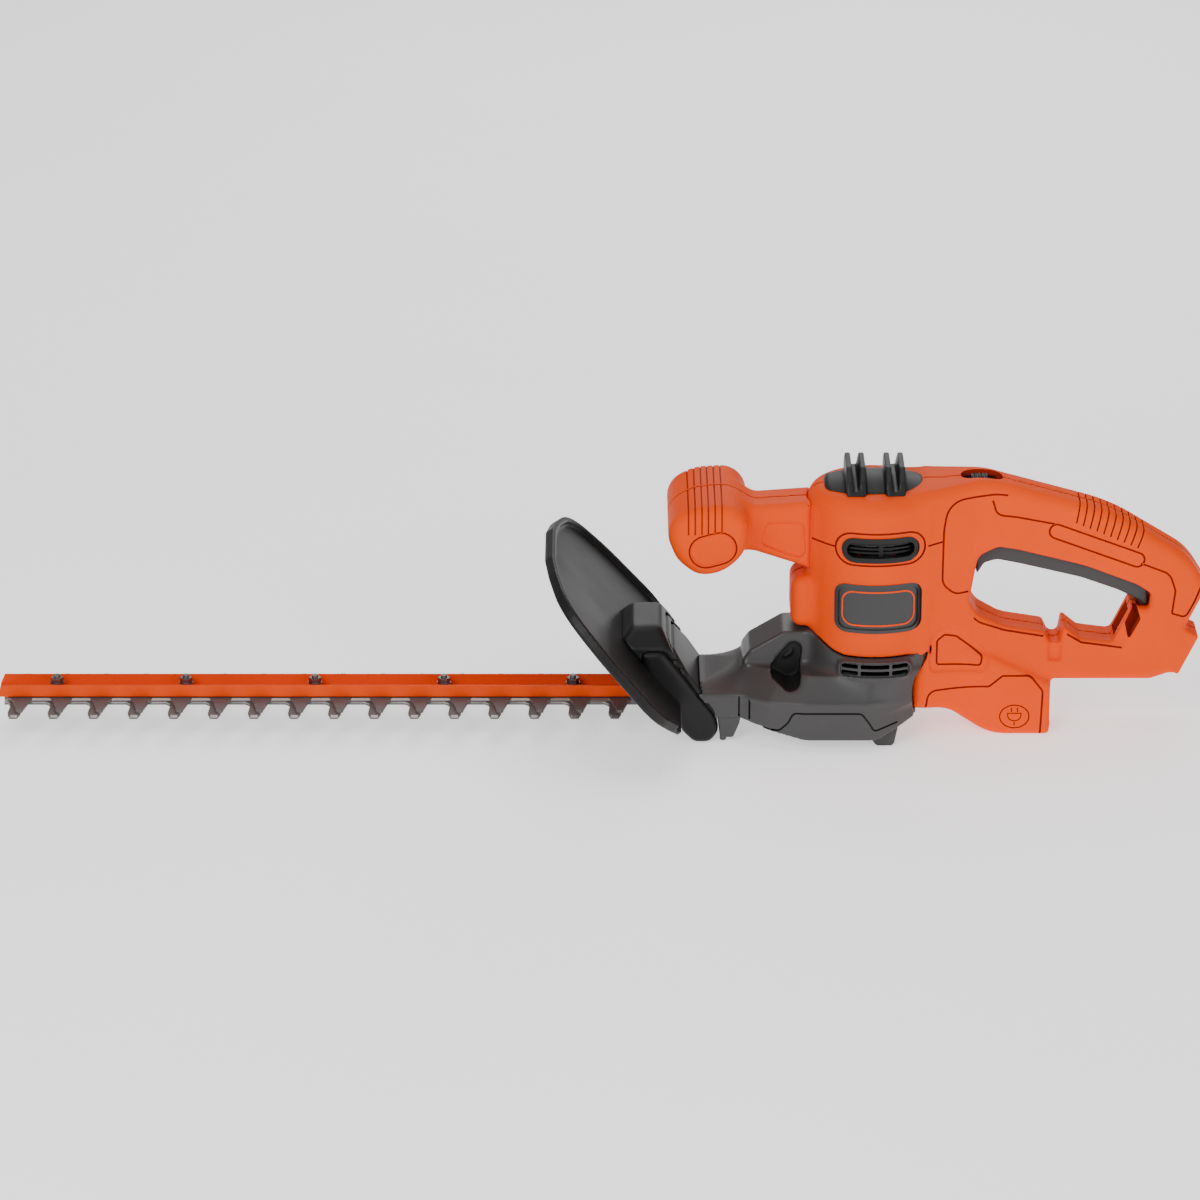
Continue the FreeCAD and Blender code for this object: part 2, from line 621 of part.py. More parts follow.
# ---------------------------------------------------------------- hand guard
BRACKET_SIDE = [(14, 67.5, 0), (21, 75, 3), (38, 75.5, 6), (46.5, 60, 4), (72.5, 22, 4), (74.8, 10, 5),
                (69.5, 0.2, 4), (60, 0.8, 5), (50.8, 12, 4), (50.8, 25.8, 0)]
BRACKET_FRONT = [(-36, -2, 0), (-36, 62, 10), (-22, 76, 14), (22, 76, 14), (36, 62, 10), (36, -2, 0)]


def guard_bracket_envelope():
    return side_prism(BRACKET_SIDE, 40).common(front_prism(BRACKET_FRONT, 0, 90))


def guard_bracket():
    """Stepped arch on the gearcase's nose that the hand guard is screwed to."""
    body = guard_bracket_envelope()
    way = box(0, 100, -TUNNEL_HALF, TUNNEL_HALF, BLADE_TUNNEL_Z[0], BLADE_TUNNEL_Z[1])
    under = box(0, 100, -23, 23, -5, 11)
    return body.cut(group([way, under] + guard_screw_rods(1.7, 0)))


def guard_frame():
    """Start, run direction and rearward normal of the shield's sloping plane."""
    top = vector(GUARD_TOP[0], 0, GUARD_TOP[1])
    foot = vector(GUARD_FOOT[0], 0, GUARD_FOOT[1])
    run = (foot - top).normalize()
    normal = vector(-run.z, 0, run.x)
    return top, run, normal


def guard_face(corners, lift):
    top, run, normal = guard_frame()
    return Part.Face(rounded_wire(corners, lambda p: top + run * p.x + normal * lift + vector(0, p.y, 0)))


def guard_outline(inset):
    half = [(inset, 34 - inset * 0.6, 25), (18 + inset * 0.6, 92 - inset, 22),
            (96, 112.5 - inset, 55), (127.3 - inset, 84 - inset, 9)]
    return both_sides(half)


def hand_guard():
    top, run, normal = guard_frame()
    plate = guard_face(guard_outline(0.0), 0.0).extrude(normal * -GUARD_THICKNESS)
    rim = guard_face(guard_outline(0.0), -1.0).extrude(normal * (GUARD_RIM + 1.0))
    rim = rim.cut(guard_face(guard_outline(4.5), -2.0).extrude(normal * (GUARD_RIM + 4.0)))
    shield = plate.fuse(rim)
    notch = box(0, 90, -TUNNEL_HALF, TUNNEL_HALF, 0, BLADE_TUNNEL_Z[1])
    return shield.cut(group([notch, guard_bracket_envelope()] + guard_screw_rods(1.7, 0))).removeSplitter()


def guard_screw_rods(radius, head_radius):
    """Screws square to the shield, or the holes for them when no head is asked for."""
    top, run, normal = guard_frame()
    rods = []
    for along, across in ((78.0, -26.0), (78.0, 26.0), (104.0, -30.0), (104.0, 30.0)):
        foot = top + run * along + vector(0, across, 0)
        start = foot - normal * (GUARD_THICKNESS + 1.0)
        rod = Part.makeCylinder(radius, 14.0, start, normal)
        if head_radius:
            start = foot - normal * (GUARD_THICKNESS + 2.2)
            rod = Part.makeCylinder(radius, 13.0, start, normal)
            rod = rod.fuse(Part.makeCylinder(head_radius, 2.2, start, normal)).removeSplitter()
        rods.append(rod)
    return rods


def guard_screws():
    return group(guard_screw_rods(1.7, 3.6))


# ---------------------------------------------------------------- trim
CAP_X = (141.5, 206.0)
CAP_HALF = 26.5
RAIL_PLACES = (161.3, 186.0)


def top_cap():
    """Domed cap with two slotted hoops running across it."""
    plan = [(CAP_X[0], -CAP_HALF, 22), (CAP_X[1], -CAP_HALF, 22), (CAP_X[1], CAP_HALF, 22),
            (CAP_X[0], CAP_HALF, 22)]
    dome = [(-CAP_HALF - 1, 150, 0), (-CAP_HALF - 1, 163, 4), (-14, 171, 10), (14, 171, 10),
            (CAP_HALF + 1, 163, 4), (CAP_HALF + 1, 150, 0)]
    base = plan_prism(plan, 150, 175).common(front_prism(dome, CAP_X[0] - 5, CAP_X[1] + 5))
    side = [(CAP_X[0] - 2, 150, 0), (CAP_X[0] - 2, 164, 3), (CAP_X[0] + 12, 171, 10),
            (CAP_X[1] - 12, 171, 10), (CAP_X[1] + 2, 164, 3), (CAP_X[1] + 2, 150, 0)]
    base = base.common(side_prism(side, 40))
    parts = [base]
    slots = []
    for x in RAIL_PLACES:
        arch = [(-32.5, 150, 0), (-32.5, 160, 4), (-24, 172, 6), (-14, 178, 6), (14, 178, 6),
                (24, 172, 6), (32.5, 160, 4), (32.5, 150, 0)]
        parts.append(front_prism(arch, x - 6.2, x + 6.2))
        slot = [(-26, 169, 2), (-13, 171, 2), (13, 171, 2), (26, 169, 2), (26, 182, 0), (-26, 182, 0)]
        slots.append(front_prism(slot, x - 2.6, x + 2.6))
    cap = fuse(parts).cut(group(slots))
    return cap.cut(housing_envelope())


def drum_panel(outline, side, inner, outer, hole):
    """Piece that follows the drum's round side between two radii."""
    solid = side_block(outline, side)
    if hole:
        solid = solid.cut(side_block(hole, side))
    return solid.common(ring(MOTOR_X, 62, 160, outer, inner))


def vent_bezel(side):
    return drum_panel(VENT, side, DRUM_RADIUS - 1.2, DRUM_RADIUS + 0.8, VENT_OPENING)


def vent_grille(side):
    """Cross bars behind the vent's opening that keep fingers out."""
    bars = [drum_panel([(151.5, z, 0), (200.5, z, 0), (200.5, z + 1.2, 0), (151.5, z + 1.2, 0)],
                       side, DRUM_RADIUS - 5.5, DRUM_RADIUS - WALL, None) for z in (128.6, 131.2, 133.8)]
    ends = [drum_panel([(x, 124.5, 0), (x + 2.5, 124.5, 0), (x + 2.5, 138.5, 0), (x, 138.5, 0)],
                       side, DRUM_RADIUS - 5.5, DRUM_RADIUS - WALL, None) for x in (150.5, 174.8, 199.0)]
    return fuse(bars + ends)


def badge(side):
    return drum_panel(BADGE, side, DRUM_RADIUS - 1.2, DRUM_RADIUS + 0.3, None)


# ---------------------------------------------------------------- switch gear and inlet
TRIGGER_OUTLINE = [(238.3, 103.5, 0.8), (243.0, 111.6, 4), (251, 114, 8), (266, 111, 30), (304, 102, 60),
                   (328, 93.5, 40), (341, 87, 8), (344.8, 83, 0.8), (347.3, 84, 0.8), (347, 96.5, 6),
                   (330, 108, 20), (306, 120.5, 60), (262, 133.5, 30), (243, 136, 7), (236.3, 120, 5)]


def trigger():
    body = side_prism(TRIGGER_OUTLINE, TRIGGER_HALF)
    hollow = side_prism([(262, 116, 2), (304, 106, 4), (330, 97, 2), (330, 112, 0), (262, 140, 0)],
                        TRIGGER_HALF - 2.2)
    body = body.cut(hollow)
    rib = box(283, 293, -8, 8, 108, 140).common(side_prism(TRIGGER_OUTLINE, TRIGGER_HALF))
    pivot = cross_rod(TRIGGER_PIVOT[0], TRIGGER_PIVOT[1], -12, 12, 2.0 + RUNNING_CLEARANCE)
    return body.fuse(rib).cut(pivot).removeSplitter()


def trigger_pin():
    return cross_rod(TRIGGER_PIVOT[0], TRIGGER_PIVOT[1], -14.8, 14.8, 2.0)


def trigger_spring():
    """Return spring under the handle's seat, drawn as the tube its coils fill."""
    outer = post(265.5, 0, 134.6, 150.8, 4.0)
    return outer.cut(post(265.5, 0, 134, 152, 3.2))


def switch_module():
    body = box(273, 303, -9, 9, 136, 149.5)
    terminals = [box(x, x + 1, -3, 3, 149.5, 151.2) for x in (279, 288, 296)]
    body = fuse([body] + terminals)
    return body.cut(post(PLUNGER_X, 0, 135, 144, 3.4))


def switch_plunger():
    return post(PLUNGER_X, 0, 127.4, 140.6, 3.0)


def rectifier_board():
    board = box(206, 231, -9, 9, 120.0, 121.6)
    blocks = [box(208, 216, -6, 6, 121.6, 128.0), box(219, 227, -5, 5, 121.6, 130.0)]
    return fuse([board] + blocks)


def lock_off_button():
    cap = box(233.5, 244.5, -6.4, 6.4, 160, 170.0)
    grooves = [box(x, x + 0.9, -7, 7, 168.9, 171) for x in (235.2, 237.4, 239.6, 241.8)]
    flange = box(228.0, 249.0, -9.5, 9.5, 160.0, 164.0)
    return cap.fuse(flange).cut(group(grooves)).removeSplitter()


def inlet_insert():
    """Recessed socket block that an extension cord pushes into."""
    block = box(258, 284.5, -13.9, 13.9, 5.3, 30.7)
    recess = [(-11.5, 8, 4), (11.5, 8, 4), (11.5, 28, 8), (-11.5, 28, 8)]
    slots = [box(255, 270, y - 3.2, y + 3.2, 17.2, 18.8) for y in INLET_PIN_Y]
    return block.cut(group([front_prism(recess, 263, 290)] + slots))


INLET_PIN_Y = (-6.35, 6.35)


def inlet_pins():
    return group([box(256, 281, y - 3.15, y + 3.15, 17.25, 18.75) for y in INLET_PIN_Y])


# ---------------------------------------------------------------- export
def sub_parts():
    body = housing()
    handle = front_handle()
    return {
        "housing_left": near_half(body), "housing_right": far_half(body),
        "front_handle_left": near_half(handle), "front_handle_right": far_half(handle),
        "front_handle_screws": front_handle_screws(), "housing_screws": housing_screws(),
        "gearcase": gearcase(), "bottom_cover": bottom_cover(), "gearcase_screws": gearcase_screws(),
        "guard_bracket": guard_bracket(), "hand_guard": hand_guard(), "guard_screws": guard_screws(),
        "top_cap": top_cap(),
        "vent_bezel_left": vent_bezel(-1), "vent_bezel_right": vent_bezel(1),
        "vent_grille_left": vent_grille(-1), "vent_grille_right": vent_grille(1),
        "badge_left": badge(-1), "badge_right": badge(1),
        "trigger": trigger(), "trigger_pin": trigger_pin(), "trigger_spring": trigger_spring(),
        "switch_module": switch_module(), "switch_plunger": switch_plunger(),
        "rectifier_board": rectifier_board(), "lock_off_button": lock_off_button(),
        "inlet_insert": inlet_insert(), "inlet_pins": inlet_pins(),
        "motor_can": motor_can(), "magnets": magnets(), "armature": armature(), "windings": windings(),
        "commutator": commutator(), "motor_shaft": motor_shaft(), "fan": fan(), "pinion": pinion(),
        "brush_carrier": brush_carrier(), "brushes": brushes(),
        "lower_bearing": shaft_bearing(36.4, 43.4, 11.0), "upper_bearing": shaft_bearing(151.5, 157.0, 8.0),
        "drive_gear": drive_gear(), "cams": cams(), "gear_pin": gear_pin(),
        "upper_blade": upper_blade(), "lower_blade": lower_blade(), "blade_bar": blade_bar(),
        "blade_bolts": blade_bolts(), "bolt_sleeves": bolt_sleeves(), "bolt_spacers": bolt_spacers(),
        "flange_nuts": flange_nuts(),
    }


def main():
    os.makedirs("parts", exist_ok=True)
    for name, shape in sub_parts().items():
        shape.exportStep("parts/" + name + ".step")
        box_now = shape.BoundBox
        print(f"{name:20s} solids {len(shape.Solids)} valid {shape.isValid()} volume {shape.Volume:10.0f} "
              f"x {box_now.XMin:.1f}..{box_now.XMax:.1f} y {box_now.YMin:.1f}..{box_now.YMax:.1f} "
              f"z {box_now.ZMin:.1f}..{box_now.ZMax:.1f}")


main()
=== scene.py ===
import math

import bmesh
import bpy
import numpy as np
import openvdb
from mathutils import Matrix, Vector
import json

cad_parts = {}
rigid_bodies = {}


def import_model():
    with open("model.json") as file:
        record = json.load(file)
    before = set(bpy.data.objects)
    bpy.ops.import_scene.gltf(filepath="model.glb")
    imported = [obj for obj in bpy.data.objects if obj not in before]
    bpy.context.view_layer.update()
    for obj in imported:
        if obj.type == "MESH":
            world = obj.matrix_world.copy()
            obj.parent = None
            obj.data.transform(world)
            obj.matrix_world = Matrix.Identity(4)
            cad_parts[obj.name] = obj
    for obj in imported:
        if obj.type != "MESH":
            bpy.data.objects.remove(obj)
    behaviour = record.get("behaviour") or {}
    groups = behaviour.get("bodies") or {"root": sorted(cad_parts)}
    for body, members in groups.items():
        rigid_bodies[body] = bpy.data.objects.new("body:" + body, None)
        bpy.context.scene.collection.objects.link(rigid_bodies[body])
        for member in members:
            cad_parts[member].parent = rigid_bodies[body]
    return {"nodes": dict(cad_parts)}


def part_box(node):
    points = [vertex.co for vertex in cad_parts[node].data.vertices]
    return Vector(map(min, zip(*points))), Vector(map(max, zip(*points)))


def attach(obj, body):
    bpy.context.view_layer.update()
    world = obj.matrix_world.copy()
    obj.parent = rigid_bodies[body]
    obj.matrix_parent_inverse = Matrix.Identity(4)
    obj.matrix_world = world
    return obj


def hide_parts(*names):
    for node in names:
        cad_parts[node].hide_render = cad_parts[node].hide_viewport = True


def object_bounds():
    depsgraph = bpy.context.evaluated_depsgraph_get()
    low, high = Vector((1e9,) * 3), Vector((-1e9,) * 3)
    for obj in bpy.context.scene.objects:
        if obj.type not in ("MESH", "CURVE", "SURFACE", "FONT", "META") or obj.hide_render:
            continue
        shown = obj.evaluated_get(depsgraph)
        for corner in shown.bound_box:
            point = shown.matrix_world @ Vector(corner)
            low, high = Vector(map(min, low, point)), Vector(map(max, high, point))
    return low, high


for leftover in list(bpy.data.objects):
    bpy.data.objects.remove(leftover)
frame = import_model()
cad_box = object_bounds()

# Hedge trimmer. Shapes are drawn in millimetres in the row frame and turned to metres when meshed.
# Moulded parts are distance fields: outlines pushed through a width, rounded, blended and carved.

MM = 0.001
CELL = 1.0
SEAM = 0.15                 # half the gap on the middle plane between two half shells
LINE_WIDTH = 1.2
LINE_DEPTH = 1.2


# ---------------------------------------------------------------- places read from the frame
def node_box(name):
    """Lowest and highest corner of a CAD node in millimetres."""
    low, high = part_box(name)
    return np.array(low) / MM, np.array(high) / MM


def node_centre(name):
    low, high = node_box(name)
    return (low + high) / 2


MOTOR_X = float(node_centre("motor_can")[0])
DRUM_RADIUS = 42.0
DRUM_TOP_Z = 163.0
CAP_CENTRE_X = float(node_centre("top_cap")[0])
GEARCASE_REAR_X = float(node_box("gearcase")[1][0])

# ---------------------------------------------------------------- outlines (a, b, corner radius)
HANDLE_OUTLINE = [(176, 156, 0), (194, 160, 10), (207, 165.5, 10), (243, 169.5, 50), (322, 148, 110),
                  (372, 117.5, 40), (384.6, 97, 9), (369.5, 66, 5), (373, 57, 4), (364, 39.5, 3),
                  (350, 34.5, 10), (286, 34.5, 1.5), (286, 0, 3), (247, 0, 34), (222, 18.5, 22),
                  (196, 20.5, 2), (196, 100, 0), (176, 100, 0)]
FINGER_OPENING = [(233.5, 90, 6), (238.5, 119.5, 8), (251, 124.5, 8), (264, 122.5, 30), (306, 112, 60),
                  (340, 99, 20), (348.5, 93, 3), (347.5, 83.5, 2), (339.5, 82.5, 1), (332.5, 68, 2),
                  (331, 60, 2), (304, 63.5, 3), (293.5, 72, 1.2), (291.5, 60, 2), (285.5, 60, 2),
                  (281.5, 67.8, 2), (255, 72, 30), (239, 80, 12)]
INLET_BOX = [(286, 0, 3), (247, 0, 34), (222, 18.5, 22), (204, 20.5, 2), (204, 52, 4), (232, 60, 10),
             (262, 46, 6), (286, 34.4, 2)]
FRONT_BLOCK = [(120.5, 72, 7), (120.5, 105, 8), (133.2, 106, 0), (133.2, 150, 3), (146, 160, 4),
               (165, 160, 0), (165, 72, 0)]
TRIGGER_SLOT = [(235.3, 100.5, 0), (235.3, 139, 0), (262, 139, 0), (310, 128, 0), (351, 106, 0),
                (351, 81.5, 0), (343, 81.5, 0), (330, 92, 0), (262, 108, 0), (245, 107, 0)]
TUNNEL_CENTRE = (352.0, 61.7)
TUNNEL_TILT = -25.9
TUNNEL_MOUTH = [(338.6, 88.3, 1.0), (332.4, 74, 2.0), (334.9, 62.5, 1.0), (342.4, 76.8, 2.0)]
KNOB_OUTLINE = [(48, 125, 22), (60, 115, 16), (76, 115, 26), (93, 131, 24), (92.8, 151, 16),
                (84, 161.8, 16), (60, 160.5, 30), (40.2, 150, 16), (43.5, 136, 30)]
NECK_OUTLINE = [(70, 126, 0), (98, 122, 8), (133, 110.5, 0), (133, 155, 0), (98, 152.5, 6),
                (80, 154, 0), (70, 154, 0)]
NECK_RECESS = [(105, 141.5, 4), (128.5, 141.5, 4), (129.5, 117.5, 4), (118, 120.5, 6), (101, 127.5, 4)]
KNOB_HALF = 46.0
NECK_HALF = 18.0
KNOB_END = (70.7, 133.4)    # centre of the slanted oval on the knob's end
KNOB_END_TILT = 15.0
KNOB_RIBS_X = (55.3, 59.5, 63.7, 67.7, 71.9, 76.2)
TRIGGER_OUTLINE = [(238.3, 103.5, 0.8), (243.0, 111.6, 4), (251, 114, 8), (266, 111, 30), (304, 102, 60),
                   (328, 93.5, 40), (341, 87, 8), (344.8, 83, 0.8), (347.3, 84, 0.8), (347, 96.5, 6),
                   (330, 108, 20), (306, 120.5, 60), (262, 133.5, 30), (243, 136, 7), (236.3, 120, 5)]
TRIGGER_PIVOT = (247.0, 127.0)
SKIRT_HALF_PLAN = [(54, 36, 0), (89, 36, 12), (107, 48, 12), (128, 52.7, 20), (172, 52.7, 16),
                   (188, 43, 10), (203.8, 30, 0)]
DECK_HALF_PLAN = [(92, 20, 4), (112, 30, 6), (132, 41, 12), (172, 44.5, 16), (190, 40.5, 10), (203.8, 30, 0)]
SKIRT_SIDE = [(54, 17.5, 0), (88, 17.5, 6), (130, 8, 30), (176, 8, 12), (203.8, 20, 0), (203.8, 33, 0),
              (54, 33, 0)]
HUMP_SIDE = [(91, 28, 0), (91, 51, 3), (95, 56.5, 3), (116, 69, 6), (134, 69.5, 0), (150, 60, 0),
             (150, 28, 0)]
INNER_HALF_PLAN = [(98, 38, 4), (110, 45, 6), (129, 49.5, 10), (171, 49.5, 10), (186, 40.5, 6),
                   (200.5, 28, 2)]
BRACKET_SIDE = [(14, 67.5, 0), (21, 75, 3), (38, 75.5, 6), (46.5, 60, 4), (72.5, 22, 4), (74.8, 10, 5),
                (69.5, 0.2, 4), (60, 0.8, 5), (50.8, 12, 4), (50.8, 25.8, 0)]
BRACKET_FRONT = [(-36, -4, 0), (-36, 62, 10), (-22, 76, 14), (22, 76, 14), (36, 62, 10), (36, -4, 0)]
PILLAR_SIDE = [(25, 61, 3), (40, 62, 8), (72.5, 19, 12), (75.6, 8, 8), (70, 0, 7), (59.5, 0, 7), (51.4, 8, 8),
               (50, 19, 12), (40, 31, 12), (29, 45, 8)]
NECK_FOOT = [(74, 20, 0), (89.5, 20, 0), (88.5, 13, 1), (84.5, 3, 1.5), (76, 3, 1.5)]
WEDGE_SIDE = [(112, 48.5, 1), (121.5, 52.5, 1), (124.5, 60.5, 1)]
GUARD_TOP = (-33.0, 121.0)
GUARD_FOOT = (51.0, 25.4)
GUARD_HALF = [(0, 26, 20), (4, 50, 60), (15, 87, 40), (52, 101.5, 90), (103, 107.8, 26), (127.3, 84, 9)]
CAP_HALF_PLAN = [(-32.3, 17, 10), (-24, 26.5, 12), (24, 26.5, 12), (32.3, 17, 10)]
HOOP_ARCH = [(-32.5, 150, 0), (-32.5, 158, 4), (-25, 171, 6), (-15, 178.0, 5), (15, 178.0, 5), (25, 171, 6),
             (32.5, 158, 4), (32.5, 150, 0)]
HOOP_OFFSETS = (-12.4, 12.3)
HOOP_HALF = 6.2
VENT_ROUNDING = 0.48        # corner radius as a share of the panel's height
BADGE_ROUNDING = 0.22


# ---------------------------------------------------------------- outline helpers
def both_sides(half):
    """Close a half outline of (x, y, radius) corners, given at positive y, about y = 0."""
    return half + [(x, -y, radius) for x, y, radius in reversed(half)]


def rectangle(a_range, b_range, radius):
    """Corners of an upright rectangle, all with one radius."""
    (left, right), (low, high) = a_range, b_range
    return [(left, low, radius), (right, low, radius), (right, high, radius), (left, high, radius)]


def tilted_axes(x, z, centre, tilt):
    """Distances along and across a line through centre, tilted by degrees from X towards Z."""
    turn = math.radians(tilt)
    x, z = x - centre[0], z - centre[1]
    along = x * math.cos(turn) + z * math.sin(turn)
    return along, -x * math.sin(turn) + z * math.cos(turn)


def tilted_rectangle(centre, tilt, half_length, half_height, radius):
    """Corners of a rectangle about centre, tilted by degrees from X towards Z."""
    turn = math.radians(tilt)
    x, z = centre
    return [(x + a * math.cos(turn) - b * math.sin(turn), z + a * math.sin(turn) + b * math.cos(turn), r)
            for a, b, r in rectangle((-half_length, half_length), (-half_height, half_height), radius)]


def round_corner(before, corner, after, radius, steps=6):
    """Points of the arc that rounds a corner."""
    corner = np.array(corner, float)
    back = np.array(before, float) - corner
    ahead = np.array(after, float) - corner
    back /= np.linalg.norm(back)
    ahead /= np.linalg.norm(ahead)
    half_angle = math.acos(max(-1.0, min(1.0, float(back @ ahead)))) / 2
    if radius < 0.05 or half_angle > math.pi / 2 - 0.01:
        return [corner]
    reach = radius / math.tan(half_angle)
    centre = corner + (back + ahead) / np.linalg.norm(back + ahead) * radius / math.sin(half_angle)
    start, end = corner + back * reach - centre, corner + ahead * reach - centre
    first = math.atan2(start[1], start[0])
    sweep = math.atan2(start[0] * end[1] - start[1] * end[0], start @ end)
    angles = [first + sweep * step / steps for step in range(steps + 1)]
    return [centre + radius * np.array([math.cos(a), math.sin(a)]) for a in angles]


def closed_points(corners, steps=6):
    points = []
    for index, (a, b, radius) in enumerate(corners):
        before = corners[index - 1][:2]
        after = corners[(index + 1) % len(corners)][:2]
        points += round_corner(before, (a, b), after, radius, steps)
    return np.array(points)


def open_points(corners):
    points = [np.array(corners[0][:2], float)]
    for index in range(1, len(corners) - 1):
        a, b, radius = corners[index]
        points += round_corner(corners[index - 1][:2], (a, b), corners[index + 1][:2], radius)
    points.append(np.array(corners[-1][:2], float))
    return np.array(points)


def outline_distance(corners, a, b):
    """Signed distance to a rounded outline at every pair of the samples a and b."""
    points = closed_points(corners)
    a, b = a.reshape(-1, 1), b.reshape(1, -1)
    distance = np.full((a.size, b.size), 1e9, np.float32)
    inside = np.zeros(distance.shape, bool)
    for (a0, b0), (a1, b1) in zip(points, np.roll(points, -1, axis=0)):
        da, db = a1 - a0, b1 - b0
        length = da * da + db * db
        if length < 1e-12:
            continue
        along = np.clip(((a - a0) * da + (b - b0) * db) / length, 0, 1)
        distance = np.minimum(distance, np.hypot(a - a0 - along * da, b - b0 - along * db))
        if b0 != b1:
            crosses = ((b0 > b) != (b1 > b)) & (a < da * (b - b0) / db + a0)
            inside ^= crosses
    return np.where(inside, -distance, distance).astype(np.float32)


# ---------------------------------------------------------------- distance fields
class Grid:
    """Sample points over a box, in millimetres, with x, y and z ready to broadcast."""

    def __init__(self, low, high, cell=CELL):
        self.low = np.array(low, float)
        self.cell = cell
        counts = [int(round((h - l) / cell)) + 1 for l, h in zip(low, high)]
        axes = [l + cell * np.arange(n, dtype=np.float32) for l, n in zip(low, counts)]
        self.x = axes[0].reshape(-1, 1, 1)
        self.y = axes[1].reshape(1, -1, 1)
        self.z = axes[2].reshape(1, 1, -1)

    def side(self, corners):
        """Distance to an outline in X and Z."""
        return outline_distance(corners, self.x.ravel(), self.z.ravel())[:, None, :]

    def plan(self, corners):
        """Distance to an outline in X and Y."""
        return outline_distance(corners, self.x.ravel(), self.y.ravel())[:, :, None]

    def front(self, corners):
        """Distance to an outline in Y and Z."""
        return outline_distance(corners, self.y.ravel(), self.z.ravel())[None, :, :]


def pushed(flat, across, rounding):
    """Solid from a flat distance and a distance across it, with its edges rounded."""
    a = flat + rounding
    b = across + rounding
    return np.minimum(np.maximum(a, b), 0) + np.hypot(np.maximum(a, 0), np.maximum(b, 0)) - rounding


def blended(a, b, width):
    """Union with a fillet of about that width."""
    share = np.clip(0.5 + 0.5 * (b - a) / width, 0, 1)
    return b + (a - b) * share - width * share * (1 - share)


def carved(a, b, width):
    """a with b taken out of it, with a soft edge."""
    return -blended(-a, b, width)


def trimmed(a, b, width):
    """Part of a that lies in b, with a soft edge."""
    return -blended(-a, -b, width)


def drum_distance(grid, radius=DRUM_RADIUS, top=DRUM_TOP_Z, crown=10.0):
    """Upright round body about the motor's axis, rounded at the top."""
    out = np.hypot(grid.x - MOTOR_X, grid.y) - radius
    return pushed(out, grid.z - top, crown)


def mesh_of_field(name, grid, field):
    """Closed mesh of the zero surface, in metres."""
    reach = 3.0 * grid.cell
    volume = openvdb.FloatGrid(reach)
    volume.copyFromArray(np.clip(field, -reach, reach).astype(np.float32))
    points, quads = volume.convertToQuads(isovalue=0.0)
    points = (points * grid.cell + grid.low) * MM
    mesh = bpy.data.meshes.new(name)
    mesh.vertices.add(len(points))
    mesh.vertices.foreach_set("co", points.astype(np.float32).ravel())
    mesh.loops.add(quads.size)
    mesh.loops.foreach_set("vertex_index", quads[:, ::-1].astype(np.int32).ravel())
    mesh.polygons.add(len(quads))
    mesh.polygons.foreach_set("loop_start", np.arange(0, quads.size, 4, dtype=np.int32))
    mesh.update(calc_edges=True)
    mesh.validate()
    return mesh


# ---------------------------------------------------------------- mesh helpers
def new_object(name, mesh):
    made = bpy.data.objects.new(name, mesh)
    bpy.context.scene.collection.objects.link(made)
    return made


def prism(points, place, low, high):
    """Mesh of a closed loop of flat points pushed between two levels."""
    count = len(points)
    vertices = [place(a, b, low) for a, b in points] + [place(a, b, high) for a, b in points]
    faces = [list(range(count))[::-1], list(range(count, 2 * count))]
    faces += [[i, (i + 1) % count, (i + 1) % count + count, i + count] for i in range(count)]
    return solid_mesh(vertices, faces)


def divided(points, closed, longest):
    """Path with its long runs cut into steps, and no point twice."""
    points = np.array(points, float)
    ends = np.roll(points, -1, axis=0) if closed else points[1:]
    path = []
    for start, end in zip(points, ends):
        run = np.linalg.norm(end - start)
        if run > 1e-6:
            count = int(math.ceil(run / longest))
            path += [start + (end - start) * step / count for step in range(count)]
    if not closed:
        path.append(points[-1])
    return np.array(path)


def line_tool(points, closed, place, width, low, high):
    """Mesh of a line drawn with a square pen along flat points, from one level to another."""
    points = divided(points, closed, 3.0)
    ahead = np.roll(points, -1, axis=0) - points
    behind = points - np.roll(points, 1, axis=0)
    if not closed:
        ahead[-1], behind[0] = behind[-1], ahead[0]
    ahead /= np.linalg.norm(ahead, axis=1, keepdims=True)
    behind /= np.linalg.norm(behind, axis=1, keepdims=True)
    run = ahead + behind
    run /= np.linalg.norm(run, axis=1, keepdims=True)
    normal = np.stack([-run[:, 1], run[:, 0]], axis=1)
    stretch = 1 / np.maximum(np.sum(run * ahead, axis=1, keepdims=True), 0.5)
    left = points + normal * stretch * width / 2
    right = points - normal * stretch * width / 2
    vertices, faces, count = [], [], len(points)
    for l, r in zip(left, right):
        vertices += [place(*l, low), place(*r, low), place(*r, high), place(*l, high)]
    for index in range(count if closed else count - 1):
        here, there = 4 * index, 4 * ((index + 1) % count)
        for k in range(4):
            faces.append([here + k, here + (k + 1) % 4, there + (k + 1) % 4, there + k])
    if not closed:
        faces += [[3, 2, 1, 0], [4 * count - 4, 4 * count - 3, 4 * count - 2, 4 * count - 1]]
    return solid_mesh(vertices, faces)


def solid_mesh(vertices, faces):
    """Mesh in metres from points in millimetres, with its faces turned outwards.

    It is made of triangles, because a boolean can join the pieces of a larger face into a warped one.
    """
    mesh = bpy.data.meshes.new("solid")
    mesh.from_pydata([tuple(c * MM for c in v) for v in vertices], [], faces)
    made = bmesh.new()
    made.from_mesh(mesh)
    bmesh.ops.recalc_face_normals(made, faces=made.faces)
    bmesh.ops.triangulate(made, faces=made.faces)
    made.to_mesh(mesh)
    made.free()
    return mesh


def on_side(side):
    """Places flat (x, z) points at a depth from the middle plane, on one side."""
    return lambda a, b, depth: (a, side * depth, b)


def in_plan(a, b, level):
    return (a, b, level)


